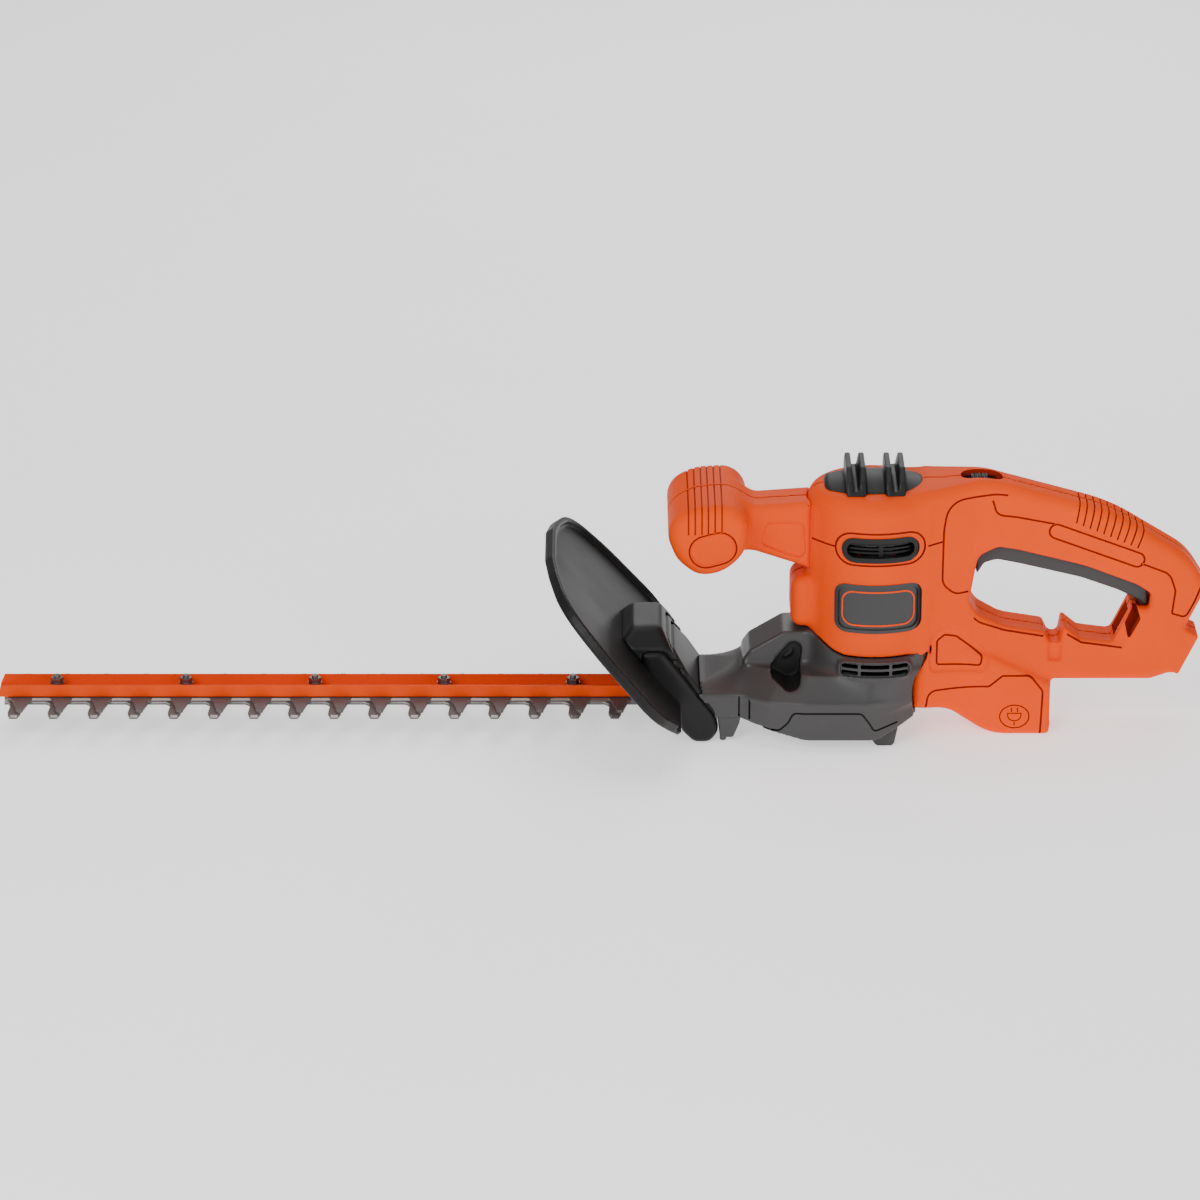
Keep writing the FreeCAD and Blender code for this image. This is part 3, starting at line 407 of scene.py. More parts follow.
def merged(meshes):
    whole = bmesh.new()
    for mesh in meshes:
        whole.from_mesh(mesh)
        bpy.data.meshes.remove(mesh)
    mesh = bpy.data.meshes.new("merged")
    whole.to_mesh(mesh)
    whole.free()
    return mesh


def boolean(mesh, tool, operation="DIFFERENCE"):
    """mesh with tool taken away, added or kept in common."""
    body = new_object("body", mesh)
    other = new_object("tool", tool)
    modifier = body.modifiers.new("cut", "BOOLEAN")
    modifier.operation = operation
    modifier.solver = "MANIFOLD"
    modifier.object = other
    result = bpy.data.meshes.new_from_object(body.evaluated_get(bpy.context.evaluated_depsgraph_get()))
    bpy.data.objects.remove(body)
    bpy.data.objects.remove(other)
    bpy.data.meshes.remove(mesh)
    return result


def engraved(mesh, tools, core):
    """mesh with tools cut into it, but only down to the surface of core."""
    tool = boolean(merged(tools), core.copy())
    result = boolean(mesh, tool)
    bpy.data.meshes.remove(tool)
    return result


def mirrored(mesh):
    """Copy of a mesh on the other side of the middle plane."""
    copy = mesh.copy()
    points = np.empty(len(copy.vertices) * 3, np.float32)
    copy.vertices.foreach_get("co", points)
    points[1::3] *= -1
    copy.vertices.foreach_set("co", points)
    copy.flip_normals()
    copy.update()
    return copy


def paint_recess_shade(mesh, grid, shape, depth):
    """Give faces that lie under the skin, such as grooves and inner walls, the second material, a darker one
    that paints shade into them.
    """
    centres = np.empty(len(mesh.polygons) * 3, np.float32)
    mesh.polygons.foreach_get("center", centres)
    steps = (centres.reshape(-1, 3) / MM - grid.low) / grid.cell
    sizes = np.array(shape.shape)
    base = np.clip(np.floor(steps).astype(int), 0, sizes - 2)
    share = np.clip(steps - base, 0, 1)
    level = np.zeros(len(steps))
    for corner in np.ndindex(2, 2, 2):
        weight = np.prod(np.where(np.array(corner), share, 1 - share), axis=1)
        level += weight * shape[tuple((base + corner).T)]
    mesh.polygons.foreach_set("material_index", (level < -depth).astype(np.int32))


def piece(name, mesh, material, body, node, angle=32, painted_shade_material=None):
    """Finished object that rides on a body and stands for a CAD node."""
    made = new_object(name, mesh)
    indices = np.empty(len(mesh.polygons), np.int32)
    mesh.polygons.foreach_get("material_index", indices)
    mesh.materials.clear()
    mesh.materials.append(material)
    # the second material paints shade on faces that lie under the skin
    if painted_shade_material:
        mesh.materials.append(painted_shade_material)
        mesh.polygons.foreach_set("material_index", indices)
    mesh.shade_smooth()
    mesh.set_sharp_from_angle(angle=math.radians(angle))
    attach(made, body)
    if node:
        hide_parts(node)
    return made


# ---------------------------------------------------------------- materials
def new_material(name):
    material = bpy.data.materials.new(name)
    material.use_nodes = True
    nodes, links = material.node_tree.nodes, material.node_tree.links
    return material, nodes, links, nodes["Principled BSDF"]


def noise(nodes, links, scale, detail, coordinates):
    texture = nodes.new("ShaderNodeTexNoise")
    texture.inputs["Scale"].default_value = scale
    texture.inputs["Detail"].default_value = detail
    links.new(coordinates.outputs["Object"], texture.inputs["Vector"])
    return texture


def spread(nodes, links, source, low, high):
    """Map a texture's middle range onto low to high."""
    mapped = nodes.new("ShaderNodeMapRange")
    mapped.inputs["From Min"].default_value = 0.3
    mapped.inputs["From Max"].default_value = 0.7
    mapped.inputs["To Min"].default_value = low
    mapped.inputs["To Max"].default_value = high
    links.new(source.outputs["Fac"], mapped.inputs["Value"])
    return mapped


def tinted(nodes, links, source, dark, light):
    ramp = nodes.new("ShaderNodeValToRGB")
    ramp.color_ramp.elements[0].position = 0.3
    ramp.color_ramp.elements[0].color = (*dark, 1)
    ramp.color_ramp.elements[1].position = 0.7
    ramp.color_ramp.elements[1].color = (*light, 1)
    links.new(source.outputs["Fac"], ramp.inputs["Fac"])
    return ramp


def bumped(nodes, links, shader, source, strength, distance):
    bump = nodes.new("ShaderNodeBump")
    bump.inputs["Strength"].default_value = strength
    bump.inputs["Distance"].default_value = distance
    links.new(source.outputs["Fac"], bump.inputs["Height"])
    links.new(bump.outputs["Normal"], shader.inputs["Normal"])


def scaled(colour, factor):
    return tuple(min(1.0, c * factor) for c in colour)


def moulded_plastic(name, colour, roughness, grain=900.0, variation=0.05, specular=0.4):
    """Injection moulded plastic: fine spark-eroded grain and faint flow marks."""
    material, nodes, links, shader = new_material(name)
    where = nodes.new("ShaderNodeTexCoord")
    flow = noise(nodes, links, 14.0, 3.0, where)
    fine = noise(nodes, links, grain, 2.0, where)
    ramp = tinted(nodes, links, flow, scaled(colour, 1 - variation), scaled(colour, 1 + variation))
    links.new(ramp.outputs["Color"], shader.inputs["Base Color"])
    rough = spread(nodes, links, flow, roughness - 0.05, roughness + 0.05)
    links.new(rough.outputs["Result"], shader.inputs["Roughness"])
    bumped(nodes, links, shader, fine, 0.12, 0.00015)
    shader.inputs["Specular IOR Level"].default_value = specular
    return material


def worked_metal(name, colour, roughness, scale=(30.0, 900.0, 900.0), variation=0.15, metallic=1.0):
    """Metal with drawn or ground streaks along one direction."""
    material, nodes, links, shader = new_material(name)
    where = nodes.new("ShaderNodeTexCoord")
    stretch = nodes.new("ShaderNodeMapping")
    stretch.inputs["Scale"].default_value = scale
    links.new(where.outputs["Object"], stretch.inputs["Vector"])
    streak = nodes.new("ShaderNodeTexNoise")
    streak.inputs["Scale"].default_value = 1.0
    streak.inputs["Detail"].default_value = 3.0
    links.new(stretch.outputs["Vector"], streak.inputs["Vector"])
    ramp = tinted(nodes, links, streak, scaled(colour, 1 - variation), scaled(colour, 1 + variation))
    links.new(ramp.outputs["Color"], shader.inputs["Base Color"])
    rough = spread(nodes, links, streak, roughness - 0.08, roughness + 0.08)
    links.new(rough.outputs["Result"], shader.inputs["Roughness"])
    bumped(nodes, links, shader, streak, 0.04, 0.00005)
    shader.inputs["Metallic"].default_value = metallic
    return material


def make_materials():
    return {
        "orange": moulded_plastic("orange_plastic", (0.84, 0.066, 0.0), 0.5, specular=0.05),
        # darker copy of the orange plastic that paints shade into grooves, recesses and inner walls
        "orange_painted_shade": moulded_plastic("orange_painted_shade_plastic", (0.34, 0.016, 0.0), 0.6, specular=0.1),
        "bar": moulded_plastic("bar_orange_paint", (0.78, 0.062, 0.0), 0.45, 400.0, specular=0.08),
        "gearcase": moulded_plastic("gearcase_plastic", (0.044, 0.043, 0.043), 0.4, 700.0, 0.08, 0.35),
        "guard": moulded_plastic("guard_plastic", (0.009, 0.009, 0.009), 0.42, 700.0, 0.08, 0.22),
        "trim": moulded_plastic("trim_plastic", (0.011, 0.011, 0.012), 0.45, 800.0, 0.1, 0.25),
        "trigger": moulded_plastic("trigger_plastic", (0.042, 0.042, 0.042), 0.48, 800.0, 0.08, 0.3),
        "badge": moulded_plastic("badge_plastic", (0.032, 0.032, 0.034), 0.35, 500.0, 0.1, 0.4),
        "black": moulded_plastic("black_plastic", (0.008, 0.008, 0.008), 0.5, 700.0, 0.1, 0.25),
        "green": moulded_plastic("board_green", (0.02, 0.16, 0.07), 0.5, 300.0, 0.15),
        "blade": worked_metal("blade_steel", (0.105, 0.086, 0.083), 0.6, (40.0, 300.0, 300.0), metallic=0.1),
        "ground": worked_metal("ground_steel", (0.42, 0.40, 0.39), 0.38, (60.0, 20.0, 60.0), metallic=0.8),
        "hardware": worked_metal("zinc_plated_steel", (0.20, 0.19, 0.19), 0.42, (90.0, 90.0, 90.0)),
        "steel": worked_metal("turned_steel", (0.36, 0.36, 0.37), 0.35, (60.0, 60.0, 400.0)),
        "magnet": worked_metal("magnet_grey", (0.12, 0.12, 0.125), 0.6, (90.0, 90.0, 90.0), metallic=0.4),
        "copper": worked_metal("copper_wire", (0.72, 0.30, 0.14), 0.35, (80.0, 80.0, 1800.0), 0.3),
        "brass": worked_metal("pin_brass", (0.72, 0.52, 0.22), 0.3, (60.0, 30.0, 60.0)),
        "carbon": moulded_plastic("brush_carbon", (0.03, 0.03, 0.032), 0.6, 600.0, 0.2),
    }


# ---------------------------------------------------------------- orange housing
def tunnel_distance(grid, half_width, half_height, rounding):
    """Slanted channel through the handle's rear corner."""
    lift = tilted_axes(grid.x, grid.z, TUNNEL_CENTRE, TUNNEL_TILT)[1]
    return pushed(np.abs(lift) - half_height, np.abs(grid.y) - half_width, rounding)


def side_reach(grid):
    """Half-width of the rear body, which narrows from the drum to the grip."""
    return np.interp(grid.x, [170, 206, 236, 252, 400], [33.0, 30.5, 19.5, 16.0, 16.0]).astype(np.float32)


def drum_lower_edge(grid):
    """Height of the line where the orange drum ends, which arches up at the front."""
    edge = np.interp(grid.x, [131, 139, 147, 154, 196, 204, 210, 216],
                     [69.5, 67, 62, 60, 60, 61.5, 64, 66])
    return edge.astype(np.float32)


def gearcase_rear(grid):
    """X of the curved joint between the gearcase and the orange body behind it."""
    edge = np.interp(grid.z, [18, 30, 38, 44, 50, 55, 60, 70], [199, 197.5, 197.5, 199, 203, 206, 208, 209])
    return edge.astype(np.float32)


def housing_distance(grid):
    handle = grid.side(HANDLE_OUTLINE)
    body = pushed(handle, np.abs(grid.y) - side_reach(grid), 7.0)
    below_drum = np.maximum(grid.x - gearcase_rear(grid) - 0.5, grid.z - drum_lower_edge(grid) + 1.0)
    body = np.maximum(body, -below_drum)
    inlet = pushed(grid.side(INLET_BOX), np.abs(grid.y) - 21.0, 3.5)
    block = pushed(grid.side(FRONT_BLOCK), np.abs(grid.y) - 20.0, 7.0)
    drum = trimmed(drum_distance(grid), drum_lower_edge(grid) - grid.z, 2.0)
    shape = blended(blended(drum, body, 9.0), inlet, 4.0)
    shape = blended(shape, block, 5.0)
    opening = pushed(grid.side(FINGER_OPENING), np.abs(grid.y) - 60.0, 0.5)
    return carved(shape, opening, 3.5)


def tunnel_box(grid):
    """Walls of the cord tunnel, standing a little proud of the handle's corner."""
    along = tilted_axes(grid.x, grid.z, TUNNEL_CENTRE, TUNNEL_TILT)[0]
    body = tunnel_distance(grid, 14.5, 14.5, 2.0)
    return pushed(body, np.abs(along) - 24.0, 1.0)


HOUSING_LINES = [
    ([(256.6, 159.5, 0), (248, 160.5, 30), (219, 158.5, 13), (216.0, 140, 40), (215.6, 104, 10),
      (224, 96.5, 8), (232.5, 97.2, 0)], False),
    ([(247, 156.5, 0), (250, 146.5, 6), (263, 145, 10), (286.5, 140.5, 0)], False),
    ([(342, 114, 0), (360, 107, 9), (363.8, 96, 6), (362, 80.5, 1), (370.8, 78, 3), (376, 88, 10),
      (381.5, 103, 0)], False),
    ([(206.5, 22, 0), (208, 33, 6), (247, 33, 3), (255.5, 40.2, 3), (273, 40.2, 7), (281.2, 30, 6),
      (280, 0.5, 0)], False),
    ([(284.8, 141.6, 4.5), (282.2, 132.6, 4.5), (341.5, 110.7, 4.5), (345, 119.4, 4.5)], True),
    ([(213, 50, 2), (213, 66, 3), (218, 69.5, 3), (225.5, 67.5, 3), (242.3, 53, 3), (241.3, 46.8, 2)], True),
    ([(236, 79, 0), (240, 75.5, 12), (255, 69.5, 30), (281, 65.2, 0)], False),
    ([(296, 66.5, 0), (305, 61, 2), (331, 57.5, 0)], False),
]
VENT_LINE = rectangle((147.8, 204), (121.5, 142.5), 10.4)
CORNER_RECESS = [(208.5, 45.5, 5), (208.5, 69, 5), (217, 74, 5), (228, 71.5, 6), (246, 55, 5), (246.5, 47, 4),
                 (242, 43, 4)]


def oval(centre_a, centre_b, half_a, half_b, count=40):
    angles = [2 * math.pi * k / count for k in range(count)]
    return [(centre_a + half_a * math.cos(t), centre_b + half_b * math.sin(t)) for t in angles]


def plug_symbol(side):
    """Plug in a ring, which marks where the extension cord goes."""
    x, z = 263.5, 12.6
    place = on_side(side)
    arc = [(x + 4.2 * math.cos(t), z + 0.6 + 3.6 * math.sin(t))
           for t in np.linspace(math.pi, 2 * math.pi, 9)]
    cup = [(x - 4.2, z + 2.2)] + arc + [(x + 4.2, z + 2.2)]
    strokes = [(oval(x, z, 9.3, 7.7), True, 0.7), (cup, True, 0.6),
               ([(x - 1.9, z + 3.0), (x - 1.9, z + 6.0)], False, 0.6),
               ([(x + 1.9, z + 3.0), (x + 1.9, z + 6.0)], False, 0.6),
               ([(x, z - 3.8), (x, z - 6.2)], False, 0.6)]
    return [line_tool(points, closed, place, width, 17.0, 30.0) for points, closed, width in strokes]


def housing_tools(side):
    place = on_side(side)
    tools = []
    for corners, closed in HOUSING_LINES:
        points = closed_points(corners) if closed else open_points(corners)
        tools.append(line_tool(points, closed, place, LINE_WIDTH, 10.0, 60.0))
    tools.append(line_tool(closed_points(VENT_LINE), True, place, LINE_WIDTH, 22.0, 60.0))
    tools.append(line_tool([(133.5, 131.9), (147.3, 131.9)], False, place, LINE_WIDTH, 16.0, 60.0))
    tools.append(line_tool([(204.6, 131.0), (215.4, 132.5)], False, place, LINE_WIDTH, 16.0, 60.0))
    return tools + plug_symbol(side)


def grip_ribs(side):
    """Thin grooves over the back of the grip."""
    tools = []
    place = on_side(side)
    for index in range(10):
        share = index / 9
        top = (303.5 + 40.0 * share, 160.0 - 24.0 * share)
        foot = (300.0 + 39.0 * share, 141.0 - 16.5 * share)
        tools.append(line_tool([top, foot], False, place, 0.9, 0.8, 30.0))
    return tools


def notch_groove(grid):
    """Upright hollow in the side below the cord hook, with a round post above it."""
    hollow = np.hypot(grid.x - 288.5, np.abs(grid.y) - 17.5) - 5.0
    return pushed(hollow, np.abs(grid.z - 54.0) - 5.5, 1.0)


def housing_fields():
    """The outer skin of the housing and the near half of its shell."""
    grid = Grid((116.0, -50.0, -4.0), (390.0, 4.0, 180.0))
    shape = blended(housing_distance(grid), tunnel_box(grid), 3.0)
    recess = pushed(grid.side(CORNER_RECESS), -(shape + 1.6), 0.3)
    shape = carved(shape, recess, 1.5)
    shape = carved(shape, notch_groove(grid), 1.0)
    shape = np.maximum(shape, -grid.z)
    return grid, shape, trimmed(shape, grid.y + SEAM, 0.8)


def tunnel_bore():
    corners = tilted_rectangle(TUNNEL_CENTRE, TUNNEL_TILT, 45.0, 9.8, 0)
    return prism(closed_points(corners), on_side(1), -8.5, 8.5)


def round_room(x, radius, low, high, count=40):
    """Upright cylinder on the middle plane."""
    return prism(oval(x, 0, radius, radius, count), in_plan, low, high)


def rounded_box(x_range, y_range, z_range, radius):
    """Box with its upright edges rounded."""
    return prism(closed_points(rectangle(x_range, y_range, radius)), in_plan, *z_range)


# Cuts with flat walls, as their ranges in X, Y and Z
LOCK_OFF_SLOT = (227.6, 254.0), (-8.5, 8.5), (158, 185)
LOCK_OFF_ROOM = (222.5, 250.5), (-9.8, 9.8), (152.0, 164.5)
SWITCH_ROOM = (272.0, 304.0), (-9.8, 9.8), (118.0, 149.5)
BLADE_WAY = (30, 100), (-14.6, 14.6), (14.0, 34.2)
YOKE_ROOM = (88.0, 112), (-24.2, 24.2), (14.0, 33.0)
BRACKET_WAYS = (((0, 100), (-14.6, 14.6), (14.0, 34.2)), ((0, 100), (-23.0, 23.0), (-5.0, 11.0)))
MOTOR_ROOM_RADIUS = 36.5
ARMATURE_ROOM_RADIUS = 29.0
SHAFT_ROOM_RADIUS = 11.0
FAN_ROOM_RADIUS = 41.0
GEAR_PIN_X = 136.0


def housing_rooms():
    """Room for the motor, fan, switch, plunger and lock-off button, all open at the middle plane."""
    return [round_room(MOTOR_X, MOTOR_ROOM_RADIUS, 62.0, 158.0, 96),
            round_room(MOTOR_X, ARMATURE_ROOM_RADIUS, 40.0, 64.0, 96),
            rounded_box(*SWITCH_ROOM, 0.0), rounded_box(*LOCK_OFF_ROOM, 0.0)]


def orange_halves(name, left, right, materials):
    """The left and right shell of an orange moulding, with painted shade in its grooves and inner walls."""
    for hand, mesh in (("left", left), ("right", right)):
        node = f"{name}_{hand}"
        piece(node + "_shell", mesh, materials["orange"], "body", node,
              painted_shade_material=materials["orange_painted_shade"])


def build_housing(materials):
    grid, shape, half = housing_fields()
    core = mesh_of_field("core", grid, shape + LINE_DEPTH)
    mesh = mesh_of_field("housing", grid, half)
    mesh = engraved(mesh, housing_tools(-1), core)
    mesh = engraved(mesh, grip_ribs(-1), core)
    bpy.data.meshes.remove(core)
    inlet_low, inlet_high = node_box("inlet_insert")
    inlet = rectangle((inlet_low[1], inlet_high[1]), (inlet_low[2], inlet_high[2]), 3)
    tools = [prism(closed_points(TRIGGER_SLOT), on_side(1), -9.5, 9.5), tunnel_bore(),
             rounded_box(*LOCK_OFF_SLOT, 7.0),
             prism(closed_points(inlet), lambda a, b, level: (level, a, b), 276, 300)]
    for node, share in (("vent_bezel_left", VENT_ROUNDING), ("badge_left", BADGE_ROUNDING)):
        tools.append(prism(closed_points(panel_corners(node, 0.0, share)), on_side(-1), 20.0, 60.0))
    for tool in tools + housing_rooms():
        mesh = boolean(mesh, tool)
    # grooves, recesses and inner walls of the housing get painted shade
    paint_recess_shade(mesh, grid, shape, 0.35)
    other = mirrored(mesh)
    mesh = boolean(mesh, prism(closed_points(TUNNEL_MOUTH), on_side(-1), 7.5, 30.0))
    paint_recess_shade(mesh, grid, shape, 0.35)
    orange_halves("housing", mesh, other, materials)


# ---------------------------------------------------------------- front handle
def front_handle_distance(grid):
    knob = pushed(grid.side(KNOB_OUTLINE), np.abs(grid.y) - KNOB_HALF, 9.0)
    neck = pushed(grid.side(NECK_OUTLINE), np.abs(grid.y) - NECK_HALF, 5.0)
    return blended(knob, neck, 9.0)


def build_front_handle(materials):
    grid = Grid((38.0, -50.0, 106.0), (137.0, 4.0, 168.0), CELL)
    shape = front_handle_distance(grid)
    reach = np.hypot(grid.x - MOTOR_X, grid.y) - DRUM_RADIUS - 0.5
    shape = trimmed(shape, -reach, 0.6)
    recess = pushed(grid.side(NECK_RECESS), 15.6 - np.abs(grid.y), 0.4)
    shape = carved(shape, recess, 1.2)
    along, lift = tilted_axes(grid.x, grid.z, KNOB_END, KNOB_END_TILT)
    end = pushed(np.hypot(np.maximum(np.abs(along) - 4.5, 0), lift) - 9.5, 43.8 - np.abs(grid.y), 1.0)
    shape = carved(shape, end, 1.6)
    half = trimmed(shape, grid.y + SEAM, 0.8)
    core = mesh_of_field("core", grid, shape + 0.7)
    mesh = mesh_of_field("front_handle", grid, half)
    ribs = [line_tool([(x, -48.0), (x, -1.5)], False, in_plan, 0.9, 143.5, 175.0)
            for x in KNOB_RIBS_X]
    ring = closed_points(tilted_rectangle(KNOB_END, KNOB_END_TILT, 15.0, 10.5, 10.4))
    ribs.append(line_tool(ring, True, on_side(-1), 0.9, 38.0, 50.0))
    mesh = engraved(mesh, ribs, core)
    bpy.data.meshes.remove(core)
    # ribs, the neck recess and the knob's end oval get painted shade
    paint_recess_shade(mesh, grid, shape, 0.25)
    other = mirrored(mesh)
    orange_halves("front_handle", mesh, other, materials)


# ---------------------------------------------------------------- gearcase
def gearcase_distance(grid):
    skirt_plan = grid.plan(both_sides(SKIRT_HALF_PLAN))
    deck_plan = grid.plan(both_sides(DECK_HALF_PLAN))
    skirt = trimmed(pushed(skirt_plan, grid.z - 33.0, 1.2), grid.side(SKIRT_SIDE), 1.0)
    share = np.clip((grid.z - 33.0) / 14.0, 0, 1)
    slope = np.maximum(skirt_plan * (1 - share) + deck_plan * share, np.abs(grid.z - 39.5) - 8.0)
    out = np.hypot(grid.x - MOTOR_X, grid.y) - 43.6
    chamber = np.maximum(out, np.maximum(grid.x - gearcase_rear(grid), 30.0 - grid.z))
    chamber = np.maximum(chamber, grid.z - drum_lower_edge(grid) + 0.5)
    hump = pushed(grid.side(HUMP_SIDE), np.abs(grid.y) - 19.0, 2.0)
    hump = np.maximum(hump, grid.z - 70.0)
    neck_top = np.maximum(np.abs(grid.x - 73.0) - 20.0, 30.0 - grid.z)
    neck_top = np.maximum(neck_top, grid.z - np.interp(np.abs(grid.y), [0, 22, 36], [36.8, 36.8, 33.0]))
    neck_top = pushed(neck_top, np.abs(grid.y) - 36.0, 0.5)
    body = blended(skirt, slope, 2.0)
    body = blended(body, chamber, 8.0)
    body = blended(body, hump, 5.0)
    body = blended(body, neck_top.astype(np.float32), 3.0)
    return trimmed(body, grid.x - gearcase_rear(grid), 1.5)


EXHAUST_RIM = rectangle((149.5, 197.0), (46.6, 58.6), 5.6)
EXHAUST_POCKET = rectangle((151.4, 195.2), (48.2, 57.0), 4)
EXHAUST_ROWS = [(48.9, 51.7), (53.3, 56.1)]
EXHAUST_COLUMNS = [(152.4, 162.6), (164.2, 182.4), (184.0, 194.2)]
GEARCASE_LINES = [
    [(99.5, 15.0, 0), (113, 14.0, 4), (118.5, 19.5, 3), (122, 26.5, 4), (165, 26.5, 4), (169.5, 20.5, 4),
     (173, 14.3, 3), (188, 17.5, 0)],
    [(88, 18.5, 0), (88, 32.5, 0)],
    [(94.5, 18.0, 0), (94.5, 32.0, 0)],
]
HUMP_RECESS = [(106.5, 45.0, 3), (119.5, 37.5, 5), (126.0, 41.0, 5), (128.0, 60.5, 4), (121.0, 63.0, 4)]


def build_gearcase(materials):
    grid = Grid((48.0, -57.0, -3.0), (213.0, 57.0, 75.0))
    shape = gearcase_distance(grid)
    wall = np.hypot(grid.x - MOTOR_X, grid.y)
    rim = pushed(grid.side(EXHAUST_RIM), wall - 47.0, 1.2)
    rim = np.maximum(rim, 38.0 - wall)
    shape = blended(shape, rim, 1.2)
    pocket = pushed(grid.side(EXHAUST_POCKET), 44.6 - wall, 0.3)
    shape = carved(shape, pocket, 0.6)
    skin = shape
    recess = pushed(grid.side(HUMP_RECESS), 15.5 - np.abs(grid.y), 0.5)
    shape = carved(shape, recess, 1.2)
    wedge = pushed(grid.side(WEDGE_SIDE), np.abs(grid.y) - 17.0, 0.4)
    shape = np.minimum(shape, np.maximum(wedge, 12.0 - np.abs(grid.y)))
    from_foot = np.abs(grid.y) - 30.0
    shape = blended(shape, pushed(grid.side(NECK_FOOT), np.abs(from_foot) - 4.0, 1.0), 1.0)
    peg = pushed(np.hypot(grid.x - 78.0, from_foot) - 2.2, np.abs(grid.z - 3.5) - 3.3, 0.5)
    shape = np.minimum(shape, peg)
    leg_room = np.maximum(grid.side(PILLAR_SIDE), 23.0 - np.abs(grid.y))
    bracket = np.minimum(leg_room, bracket_distance(grid))
    shape = np.maximum(shape, -(bracket - 0.2))
    mesh = mesh_of_field("gearcase", grid, shape)
    core = mesh_of_field("core", grid, shape + LINE_DEPTH)
    tools = [line_tool(open_points(corners), False, on_side(side), LINE_WIDTH, 20.0, 80.0)
             for side in (-1, 1) for corners in GEARCASE_LINES]
    mesh = engraved(mesh, tools, core)
    bpy.data.meshes.remove(core)
    inner_plan = closed_points(both_sides(INNER_HALF_PLAN))
    cuts = [prism(inner_plan, in_plan, -2.0, 33.0), fan_room(), hump_room()]
    cuts += [round_room(MOTOR_X, SHAFT_ROOM_RADIUS, 32.0, 46.5), round_room(GEAR_PIN_X, 3.0, 20.0, 40.0),
             rounded_box(*BLADE_WAY, 0.0), rounded_box(*YOKE_ROOM, 0.0)]
    for side in (-1, 1):
        for low, high in EXHAUST_ROWS:
            for left, right in EXHAUST_COLUMNS:
                cell = closed_points(rectangle((left, right), (low, high), 0.8))
                cuts.append(prism(cell, on_side(side), 30.0, 60.0))
    for tool in cuts:
        mesh = boolean(mesh, tool)
    # grooves, exhaust cells, the hump recess and inner walls get the black material as painted shade
    paint_recess_shade(mesh, grid, skin, 0.6)
    piece("gearcase_shell", mesh, materials["gearcase"], "body", "gearcase",
          painted_shade_material=materials["black"])


def fan_room():
    return boolean(round_room(MOTOR_X, FAN_ROOM_RADIUS, 45.0, 80.0, 72),
                   rounded_box((GEARCASE_REAR_X - 2.5, 240), (-60, 60), (0, 100), 0.0))


def hump_room():
    corners = [(94, 44, 1), (94, 51, 1), (97, 55, 1), (116, 66.3, 2), (131, 66.8, 1), (131, 44, 1)]
    return prism(closed_points(corners), on_side(1), -13.0, 13.0)


# ---------------------------------------------------------------- guard bracket and shield
def bracket_distance(grid):
    block = pushed(grid.side(BRACKET_SIDE), np.abs(grid.y) - 36.0, 2.0)
    return trimmed(block, grid.front(BRACKET_FRONT), 3.0)


def pillar_distance(grid):
    """Legs of the bracket, which stand proud of the hood and reach the ground."""
    return pushed(grid.side(PILLAR_SIDE), np.abs(np.abs(grid.y) - 29.5) - 6.5, 4.5)


def build_bracket(materials):
    """Dark hood that carries the shield, and the two dark legs at its sides."""
    grid = Grid((8.0, -40.0, -3.0), (80.0, 40.0, 80.0), CELL * 0.9)
    hood = bracket_distance(grid)
    hood = np.maximum(hood, np.abs(grid.y) - 34.6)
    for level in (60.5, 66.5):
        band = pushed(grid.front([(-60, -10, 0), (-34, level - 12, 6), (-24, level, 8), (24, level, 8),
                                  (34, level - 12, 6), (60, -10, 0)]), grid.x - 90, 0.1)
        groove = np.abs(band) - 0.9
        hood = carved(hood, np.maximum(groove, 24.0 - grid.x), 0.6)
    legs = pillar_distance(grid)
    hood = np.maximum(hood, -(legs - 0.15))
    for name, field in (("bracket_hood", hood), ("bracket_legs", legs)):
        mesh = mesh_of_field(name, grid, field)
        for spans in BRACKET_WAYS:
            mesh = boolean(mesh, rounded_box(*spans, 0.0))
        piece("guard_" + name, mesh, materials["guard"], "body", "guard_bracket")


def guard_axes():
    """Start of the shield's slope, its downward run and its rearward normal, in X and Z."""
    top, foot = np.array(GUARD_TOP), np.array(GUARD_FOOT)
    run = (foot - top) / np.linalg.norm(foot - top)
    return top, run, np.array([-run[1], run[0]])


def build_guard(materials):
    """Shield drawn flat (run, across, lift) and then tipped onto its slope."""
    top, run, normal = guard_axes()
    grid = Grid((-4.0, -118.0, -5.0), (132.0, 118.0, 8.0), CELL)
    outline = grid.plan(both_sides(GUARD_HALF))
    plate = pushed(outline, np.abs(grid.z + 1.2) - 1.5, 0.8)
    band = np.abs(outline + 2.4) - 2.2
    rim = pushed(band, np.abs(grid.z - 0.8) - 3.2, 1.2)
    rim = np.maximum(rim, grid.x - 121.0)
    shape = blended(plate, rim, 1.5)
    mesh = mesh_of_field("guard", grid, shape)
    points = np.empty(len(mesh.vertices) * 3, np.float32)
    mesh.vertices.foreach_get("co", points)
    flat = points.reshape(-1, 3)
    placed = np.empty_like(flat)
    placed[:, 0] = top[0] * MM + run[0] * flat[:, 0] + normal[0] * flat[:, 2]
    placed[:, 1] = flat[:, 1]
    placed[:, 2] = top[1] * MM + run[1] * flat[:, 0] + normal[1] * flat[:, 2]
    mesh.vertices.foreach_set("co", placed.ravel())
    mesh.flip_normals()
    mesh.update()
    keep_out = Grid((0.0, -42.0, -6.0), (90.0, 42.0, 84.0), 1.2)
    mesh = boolean(mesh, mesh_of_field("arch", keep_out, bracket_distance(keep_out) - 0.1))
    mesh = boolean(mesh, rounded_box((0, 90), (-14.6, 14.6), (-5, 34.2), 0.0))
    piece("hand_guard_shield", mesh, materials["guard"], "body", "hand_guard")


# ---------------------------------------------------------------- cap, bezels and badges
HOOP_SLOT = rectangle((-30, 30), (166, 184), 0)


